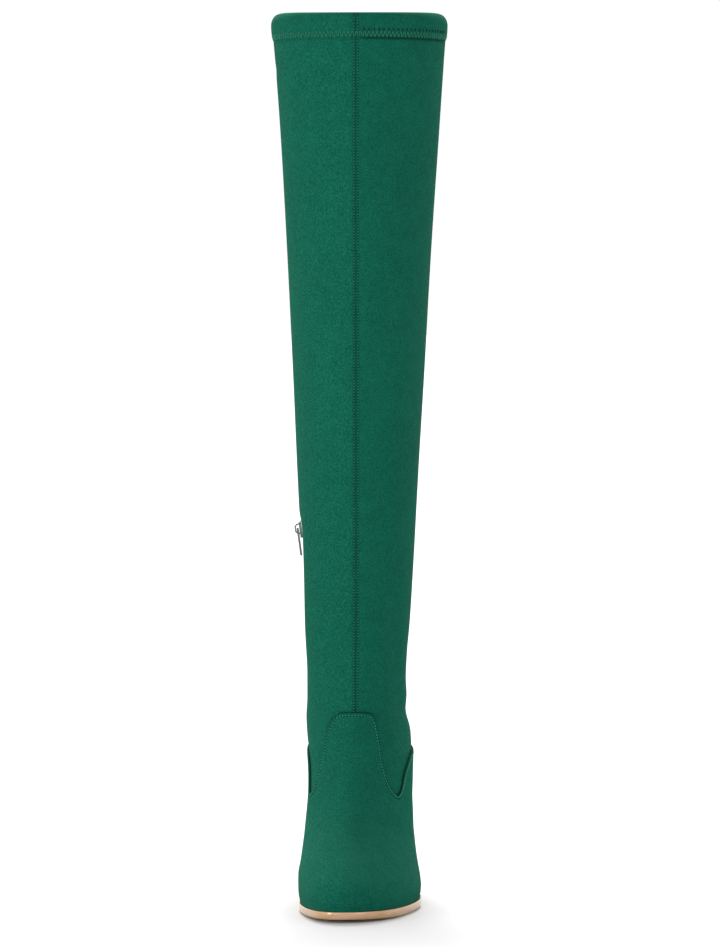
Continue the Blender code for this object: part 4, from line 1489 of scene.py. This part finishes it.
@dataclass
class Upper:
    """Vamp and counter in one piece, lasted over the sole's edge and lapped over the leg."""

    form: BootForm
    ring: Ring
    wall: float = 1.4 * MM
    lap: float = 8 * MM
    feather_edge: float = 1 * MM
    slot_start: float = 0.6
    slot_edge_round: float = 0.6 * MM
    slot_edge_fall: float = 0.4 * MM
    edge_round: float = 0.7 * MM
    stitch_in: float = 1.7 * MM
    first_share: float = 0.012
    rows_below_slot: int = 34
    rows_beside_slot: int = 24
    edge_rows_mm: tuple[float, ...] = (
        7.0, 6.0, 5.0, 4.0, 3.2, 2.6, 2.0, 1.4, 0.9, 0.5, 0.22, 0.06, 0.0,
    )
    row: Line = Line(0.25 * MM, 0.6 * MM)
    back_seam: Line = Line(0.35 * MM, 0.7 * MM)
    # Soft lines of painted shade: along the throat's stitch row, at the throat's edge and along the
    # back seam.
    row_shade: Line = Line(0.85, 0.5 * MM)
    edge_shade: Line = Line(0.6, 0.3 * MM)
    back_seam_shade: Line = Line(0.3, 0.8 * MM)
    crease_girth: float = 120 * MM
    creases: tuple[Crease, ...] = (
        Crease((0.30, 0.075), (0.42, 0.062), 0.5 * MM, 5.0 * MM),
        Crease((-0.36, 0.072), (-0.44, 0.060), 0.4 * MM, 5.0 * MM),
    )

    @property
    def out(self) -> float:
        """How far the upper's face lies outside the form."""
        return self.form.clearance + self.wall

    def face(self, s: Array, v: Array, z: Array) -> Array:
        """Distances of the upper's face from the form.

        Args:
            s: Places round the foot.
            v: Levels.
            z: Heights.

        Returns:
            Distances.
        """
        total = self.out - self.row.at(self.form.below_throat(s, z) - self.stitch_in)
        for crease in self.creases:
            total = total + crease.relief(s, z, self.crease_girth)
        return total - self.back_seam.at(self.form.from_back(s, v)) * held(v / 2.0)

    def grid(self) -> tuple[Array, Array]:
        """Lays out the columns and rows above the feather edge.

        Returns:
            s and v by column and row.
        """
        form, ring = self.form, self.ring
        shares = np.concatenate([
            np.linspace(self.first_share, self.slot_start, self.rows_below_slot),
            np.linspace(self.slot_start, 1.0, self.rows_beside_slot)[1:],
        ])
        start = ring.even()[:, None]
        pull = np.minimum(shares / self.slot_start, 1.0)[None, :]
        s = np.repeat(start, len(shares), axis=1)
        for _ in range(SETTLING):
            v = form.level_at(s, form.throat_z(s) - self.lap) * shares
            s = start + (ring.at(v) - start) * pull
        drops = np.array(self.edge_rows_mm) * MM
        top_s = np.repeat(s[:, -1:], len(drops), axis=1)
        for _ in range(SETTLING):
            top_v = form.level_at(top_s, form.throat_z(top_s) - drops)
            top_s = ring.at(top_v)
        return np.concatenate([s, top_s], axis=1), np.concatenate([v, top_v], axis=1)

    def build(self, finishes: Finishes) -> None:
        """Builds and dresses the upper.

        Args:
            finishes: The boot's materials.
        """
        form, ring = self.form, self.ring
        s, v = self.grid()
        below = form.below_throat(s, form.point(s, v)[..., 2])
        turn = self.edge_round * rolled(held(1 - below / self.edge_round))
        first = self.rows_below_slot - 1
        slotted = (s < 0) & (v >= v[:, first:first + 1])
        at_edge = held(1 - ring.beside(s, v) / self.slot_edge_round) * slotted
        face = self.face(s, v, form.point(s, v)[..., 2])
        outer = form.skin(s, v, face - turn - self.slot_edge_fall * at_edge**2)
        inner = form.skin(s, v, form.clearance)
        walls = []
        for wall, out in ((outer, self.out), (inner, form.clearance)):
            low = form.outline(ring.even(), out)[:, None]
            walls.append(np.concatenate([low, low + [0, 0, self.feather_edge], wall], axis=1))
        rows = np.arange(walls[0].shape[1] - 1)
        keep = np.ones((len(s), len(rows)), bool)
        keep[np.ix_(ring.in_slot, rows >= first + 2)] = False
        # Painted shade along the throat's stitch row and edge and along the back seam, kept off the
        # two rows at the feather edge.
        painted_shade = self.row_shade.at(below - self.stitch_in) + self.edge_shade.at(below)
        painted_shade += self.back_seam_shade.at(form.from_back(s, v))
        painted_shade = np.concatenate([np.zeros((len(s), 2)), painted_shade], axis=1)
        made = shell("upper_cloth", *walls, keep, painted_shade)
        dress(made, Slot.SUEDE, finishes.suede, finishes.lining)
        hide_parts("upper")

    def sew(self, finishes: Finishes) -> None:
        """Adds the row round the throat.

        Args:
            finishes: The boot's materials.
        """
        form = self.form
        rows = Stitches(form, self.face, length=1.25 * MM, radius=0.34 * MM)
        edge = (self.ring.slot / 2 + 1.5 * MM) / float(form.girth(-0.5, 5.0))
        smoothing = 25
        for first, last in ((-1.0, -0.5 - edge), (-0.5 + edge, 1.0)):
            s = np.linspace(first, last, 900)
            z = form.throat_z(s) - self.stitch_in / form.flatness(s)
            padded = np.pad(z, smoothing // 2, mode="edge")
            z = np.convolve(padded, np.full(smoothing, 1 / smoothing), mode="valid")
            rows.row(s, form.level_at(s, z))
        rows.build("throat_stitches", finishes.throat_thread)


@dataclass
class Zip:
    """The zip's tapes and coil, behind the slot."""

    form: BootForm
    shaft_wall: float = 1.3 * MM
    gap: float = 0.95 * MM
    tape: float = 26 * MM
    tape_thickness: float = 0.7 * MM
    tape_columns: int = 15
    coil: float = 4.6 * MM
    pitch: float = 1.5 * MM
    bar: float = 0.42 * MM
    # One turn of the coil: shares of its width, and depths behind the leg's face.
    turn_across: tuple[float, ...] = (0.5, 0.46, 0.2, -0.08, -0.14)
    turn_depths_mm: tuple[float, ...] = (-1.55, -0.75, -0.55, -0.6, -1.2)
    cord_half: float = 1.6 * MM
    cord_depth: float = 1.0 * MM
    end: float = 4 * MM
    spans: int = 120
    cord_spans: int = 60
    slot_start: float = 0.6
    lap: float = 8 * MM

    def slab(self, name: str, v: Array, across: Array, front: float, back: float) -> Object:
        """A strip along the zip.

        Args:
            name: The piece's name.
            v: Levels along it.
            across: Distances of its columns from the zip's line.
            front: Where its front lies from the leg's face.
            back: Where its back lies.

        Returns:
            The piece.
        """
        s = self.form.zip_s(v[:, None], across[None, :])
        faces = [self.form.skin(s, v[:, None], out) for out in (front, back)]
        return closed_rings(name, np.concatenate([faces[0], faces[1][:, ::-1]], axis=1)[:, ::-1])

    def build(self, finishes: Finishes) -> None:
        """Builds and dresses the tapes, the coil and its cord.

        Args:
            finishes: The boot's materials.
        """
        form = self.form
        middle = -0.5
        for _ in range(SETTLING + 1):
            start = form.level_at(middle, form.throat_z(middle) - self.lap) * self.slot_start
            middle = form.zip_s(start)
        low = float(form.point(middle, start)[2])
        top = form.zip_top - form.clearance
        face = self.shaft_wall + self.gap
        across = np.linspace(-self.tape / 2, self.tape / 2, self.tape_columns)
        levels = form.zip_level(np.linspace(low - self.end, top + self.end, self.spans + 1))
        tape = self.slab("zip_tape", levels, across, -face, -face - self.tape_thickness)
        dress(tape, Slot.ZIP_TAPE, finishes.tape)
        paths = []
        for k in range(int((top - low - 2 * form.clearance) // self.pitch)):
            for side in (-1, 1):
                z = low + form.clearance + self.pitch * (k + (0.75 if side > 0 else 0.25))
                level = form.zip_level(z)
                s = form.zip_s(level, side * np.array(self.turn_across) * self.coil)
                paths.append(form.skin(s, level, np.array(self.turn_depths_mm) * MM))
        dress(bars("zip_coil", paths, self.bar, sides=8), Slot.ZIP_TAPE, finishes.coil)
        levels = form.zip_level(np.linspace(low + form.clearance, top, self.cord_spans + 1))
        across = np.array([-self.cord_half, 0.0, self.cord_half])
        cord = self.slab("zip_cord", levels, across, -self.cord_depth, -face - 0.2 * MM)
        dress(cord, Slot.ZIP_TAPE, finishes.tape)
        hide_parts("zip_chain")


# ---- Sole and heel -------------------------------------------------------------------------------
@dataclass
class Outsole:
    """The moulded outsole, from the toe's tip to the heel's breast, ribbed under the forefoot."""

    form: BootForm
    edge_out: float = 2.5 * MM
    tip_lift: float = 1.2 * MM
    tip_start: float = 0.8
    tuck: float = 1.6 * MM
    seat_length: float = 57 * MM
    columns: int = 150
    across: int = 18
    bunching: float = 0.55
    rib_pitch: float = 4.2 * MM
    rib_depth: float = 0.5 * MM
    rib_margin: float = 6 * MM
    rib_side_fade: float = 2 * MM
    rib_end_fade: float = 3 * MM
    rib_back: float = -92 * MM
    rib_front: float = -186 * MM
    # The edge's section, from its lower arris up: share of the thickness, share of the tuck under
    # the edge, and millimetres that it is drawn in.
    section: tuple[tuple[float, float, float], ...] = (
        (0.00, 1.00, 0.0), (0.04, 0.75, 0.0), (0.12, 0.45, 0.0), (0.30, 0.19, 0.0),
        (0.65, 0.00, 0.0), (0.90, 0.00, 0.1), (1.00, 0.00, 0.3),
    )

    def breast(self) -> float:
        """s of the heel's breast on the feather edge."""
        low, high = 0.0, 1.0
        target = self.form.heel_back - self.seat_length
        for _ in range(40):
            middle = (low + high) / 2
            if float(self.form.point(middle, 0.0)[1]) < target:
                low = middle
            else:
                high = middle
        return (low + high) / 2

    def build(self, finishes: Finishes) -> None:
        """Builds and dresses the outsole.

        Args:
            finishes: The boot's materials.
        """
        form = self.form
        t = np.linspace(0, 1, self.columns)
        half = self.breast() * ((1 - self.bunching) * t + self.bunching * t * t)
        half = np.maximum(half, 1e-6)
        rings = []
        for share, tucked, drawn_mm in self.section:
            out = self.edge_out - tucked * self.tuck - drawn_mm * MM
            for sign in (-1, 1):
                points = form.outline(sign * half, out)
                points[-1, 1] -= form.clearance
                y = points[:, 1]
                past = held(form.along(y) - self.tip_start) / (1 - self.tip_start)
                thick = form.sole_thickness(y) - self.tip_lift * past
                points[:, 2] = form.feather(y) - form.clearance - thick * (1 - share)
                rings.append(points)
        made = self._close(np.array(rings).reshape(len(self.section), 2, self.columns, 3))
        dress(made, Slot.SOLE, finishes.sole)
        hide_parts("outsole")

    def _ribs(self, points: Array, room: Array) -> Array:
        """How far the underside is drawn up between its ribs.

        Args:
            points: Points of the underside.
            room: Their distances from the edge.

        Returns:
            Heights.
        """
        y = points[..., 1]
        wave = held(1.6 * np.sin(2 * math.pi * y / self.rib_pitch) - 0.6)
        inside = held((room - self.rib_margin) / self.rib_side_fade)
        back = held((self.rib_back - y) / self.rib_end_fade)
        front = held((y - self.rib_front) / self.rib_end_fade)
        return self.rib_depth * wave * inside * back * front

    def _close(self, rings: Array) -> Object:
        """Closes the edge with a top and a ribbed underside.

        Args:
            rings: Points by step, side and column.

        Returns:
            The piece.
        """
        steps, _, count = rings.shape[:3]
        share = np.linspace(0, 1, self.across + 1)[1:-1]
        points = [rings.reshape(-1, 3)]
        ids = np.arange(steps * 2 * count).reshape(steps, 2, count)
        faces = []
        for low, high in zip(ids, ids[1:]):
            for k in range(count - 1):
                a, b, c, d = low[:, k], low[:, k + 1], high[:, k + 1], high[:, k]
                faces.append([b[0], a[0], d[0], c[0]])
                faces.append([a[1], b[1], c[1], d[1]])
        plates = []
        for level, upwards in ((0, False), (-1, True)):
            left, right = rings[level, 0], rings[level, 1]
            middle = left[:, None] + (right - left)[:, None] * share[None, :, None]
            if not upwards:
                width = np.linalg.norm(right - left, axis=1)[:, None]
                middle[..., 2] += self._ribs(middle, np.minimum(share, 1 - share) * width)
            start = sum(len(group) for group in points)
            inner = start + np.arange(count * len(share)).reshape(count, len(share))
            points.append(middle.reshape(-1, 3))
            rows = np.concatenate([ids[level, 0][:, None], inner, ids[level, 1][:, None]], axis=1)
            for near, far in zip(rows, rows[1:]):
                for m in range(len(near) - 1):
                    face = [near[m], near[m + 1], far[m + 1], far[m]]
                    faces.append(face[::-1] if upwards else face)
            plates.append(rows)
        bottom, top = plates
        for end, turn in ((0, 1), (-1, -1)):
            loop = [*bottom[end], *ids[1:-1, 1, end], *top[end][::-1], *ids[1:-1, 0, end][::-1]]
            faces.append(loop[::turn])
        return make_object("outsole_unit", np.concatenate(points), faces)


@dataclass
class Heel:
    """The covered block heel and the rubber piece under it."""

    form: BootForm
    outsole: Outsole
    upper_out: float = 1.7 * MM
    tip_length: float = 45 * MM
    tip_width: float = 47 * MM
    tip_thickness: float = 5 * MM
    hollow: float = 1.5 * MM
    curve: float = 0.7
    deep: float = 0.45
    square: float = 0.8
    bunching: float = 1.3
    columns: int = 60
    rows: int = 24
    cover_round: float = 0.9 * MM
    tip_round: float = 0.5 * MM
    round_from: float = 40.0
    sharp: float = 30.0

    def ground(self, share: Array) -> tuple[Array, Array]:
        """The heel's ground outline on the outer side.

        Args:
            share: Places from 0 at the middle of the back to 1 at the breast's corner.

        Returns:
            x and y.
        """
        bend = np.minimum(share / self.curve, 1.0) * math.pi / 2
        straight = np.maximum(share - self.curve, 0.0) / (1 - self.curve)
        x = self.tip_width / 2 * np.sin(bend) ** self.square
        curved = self.deep * (1 - held(np.cos(bend)) ** self.square)
        return x, self.tip_length * (0.5 - (curved + (1 - self.deep) * straight))

    def build(self, finishes: Finishes) -> None:
        """Builds and dresses both pieces.

        Args:
            finishes: The boot's materials.
        """
        form = self.form
        breast = self.outsole.breast()
        t = np.linspace(0, 1, self.columns)
        places = breast + (1 - breast) * (1 - (1 - t) ** self.bunching)
        sign = np.concatenate([np.full(self.columns, -1.0), np.full(self.columns - 1, 1.0)])
        place = np.concatenate([places, places[::-1][1:]])
        x, y = self.ground((1 - place) / (1 - breast))
        top = form.outline(sign * np.minimum(place, 1 - 1e-6), self.upper_out)
        top[:, 2] -= form.clearance
        floors = [
            np.stack([sign * x, y, np.full(len(x), z)], axis=-1)
            for z in (0.0, self.tip_thickness, self.tip_thickness + form.clearance)
        ]
        rings = []
        for share in np.linspace(0, 1, self.rows):
            ring = floors[2] + (top - floors[2]) * share
            ring[:, :2] *= 1 - self.hollow / self.tip_width * math.sin(math.pi * share)
            rings.append(ring)
        block = closed_rings("heel_cover", np.array(rings)[:, ::-1], self.sharp)
        round_edges(block, self.cover_round, 3, self.round_from)
        dress(block, Slot.HEEL_COVER, finishes.heel)
        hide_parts("heel_block")
        tip = closed_rings("heel_toplift", np.array(floors[:2])[:, ::-1], self.sharp)
        round_edges(tip, self.tip_round, 3, self.round_from)
        dress(tip, Slot.HEEL_RUBBER, finishes.rubber)
        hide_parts("heel_tip")


# ---- The studio ----------------------------------------------------------------------------------
@dataclass(frozen=True)
class Lamp:
    """A soft box, aimed at a point of the boot."""

    name: str
    place: tuple[float, float, float]
    aim: tuple[float, float, float]
    size: float
    power: float

    def build(self) -> None:
        """Adds the lamp to the scene."""
        data = bpy.data.lights.new(self.name, "AREA")
        data.shape = "SQUARE"
        data.size = self.size
        data.energy = self.power
        lamp = place_in_scene(self.name, data)
        lamp.location = self.place
        ahead = Vector(self.aim) - Vector(self.place)
        lamp.rotation_euler = ahead.to_track_quat("-Z", "Y").to_euler()


@dataclass
class Studio:
    """The floor, the light and the camera, at the photo's angle. Angles are in degrees."""

    distance: float = 3.1965
    height: float = 0.43594
    tilt: float = 2.526
    turn: float = 1.354
    focal_px: float = 4479.1
    shift_px: float = -2.4
    height_px: int = 947
    sensor: float = 36.0
    clip_end: float = 100.0
    floor: str = "#c0c0c0"
    floor_half: float = 30.0
    floor_roughness: float = 0.9
    sky_strength: float = 1.03
    lamps: tuple[Lamp, ...] = (
        Lamp("key", (-2.1, -1.7, 0.5), (0.0, 0.0, 0.35), 0.8, 27.0),
        Lamp("fill", (1.9, -2.0, 0.5), (0.0, 0.0, 0.3), 0.8, 7.0),
        Lamp("glint", (-0.95, -2.85, 0.3), (0.0, -0.1, 0.0), 0.3, 3.8),
    )
    sun_strength: float = 5.0
    sun_elevation: float = 58.0
    sun_turn: float = 4.0
    sun_spread: float = 24.0

    def build(self) -> None:
        """Adds the floor, the surroundings, the lamps and the camera."""
        half = self.floor_half
        corners = np.array([(-half, -half, 0), (half, -half, 0), (half, half, 0), (-half, half, 0)])
        floor = make_object("studio_floor", corners, [[0, 1, 2, 3]])
        paper = Finish("matt_paper_floor", self.floor, self.floor_roughness).make()
        floor.data.materials.append(paper)
        world = bpy.data.worlds.new("studio")
        bpy.context.scene.world = world
        world.use_nodes = True
        background = world.node_tree.nodes["Background"]
        background.inputs["Color"].default_value = linear("#ffffff")
        background.inputs["Strength"].default_value = self.sky_strength
        # Colours come out as they are set, and the surroundings stay white.
        bpy.context.scene.view_settings.view_transform = "Standard"
        for lamp in self.lamps:
            lamp.build()
        self._sun()
        self._camera()

    def _sun(self) -> None:
        """Adds the soft light from behind that whitens the floor and leaves the toe's shadow."""
        data = bpy.data.lights.new("skylight", "SUN")
        data.energy = self.sun_strength
        data.angle = math.radians(self.sun_spread)
        sun = place_in_scene("skylight", data)
        tilt, turn = math.radians(90 - self.sun_elevation), math.radians(self.sun_turn)
        sun.rotation_euler = (-tilt, 0.0, turn)
        sun.location = (0.0, 2.0, 2.0)

    def _camera(self) -> None:
        """Adds the camera."""
        data = bpy.data.cameras.new("photo_view")
        data.sensor_fit = "AUTO"
        data.sensor_width = self.sensor
        data.lens = self.focal_px * self.sensor / self.height_px
        data.shift_x = -self.shift_px / self.height_px
        data.clip_end = self.clip_end
        camera = place_in_scene("photo_view", data)
        turn, tilt = math.radians(self.turn), math.radians(self.tilt)
        flat = Vector((-math.sin(turn), math.cos(turn), 0.0))
        ahead = flat * math.cos(tilt) - Vector((0.0, 0.0, math.sin(tilt)))
        right = Vector((math.cos(turn), math.sin(turn), 0.0))
        view = Matrix((right, right.cross(ahead), -ahead)).transposed().to_4x4()
        view.translation = Vector((0.0, 0.0, self.height)) - flat * self.distance
        camera.matrix_world = view
        bpy.context.scene.camera = camera


def main() -> None:
    """Builds every piece and the studio."""
    logging.basicConfig(level=logging.INFO, format="%(name)s: %(message)s")
    form = BootForm()
    ring = Ring(form)
    finishes = Finishes()
    for cloth in (Shaft(form, ring), Upper(form, ring)):
        cloth.build(finishes)
        cloth.sew(finishes)
    Zip(form).build(finishes)
    outsole = Outsole(form)
    outsole.build(finishes)
    Heel(form, outsole).build(finishes)
    refinish("insole", finishes.sock, 0.4 * MM)
    refinish("zip_slider", finishes.nickel, 0.25 * MM)
    refinish("zip_pull", finishes.nickel, 0.25 * MM)
    Studio().build()


if __name__ == "__main__":
    main()
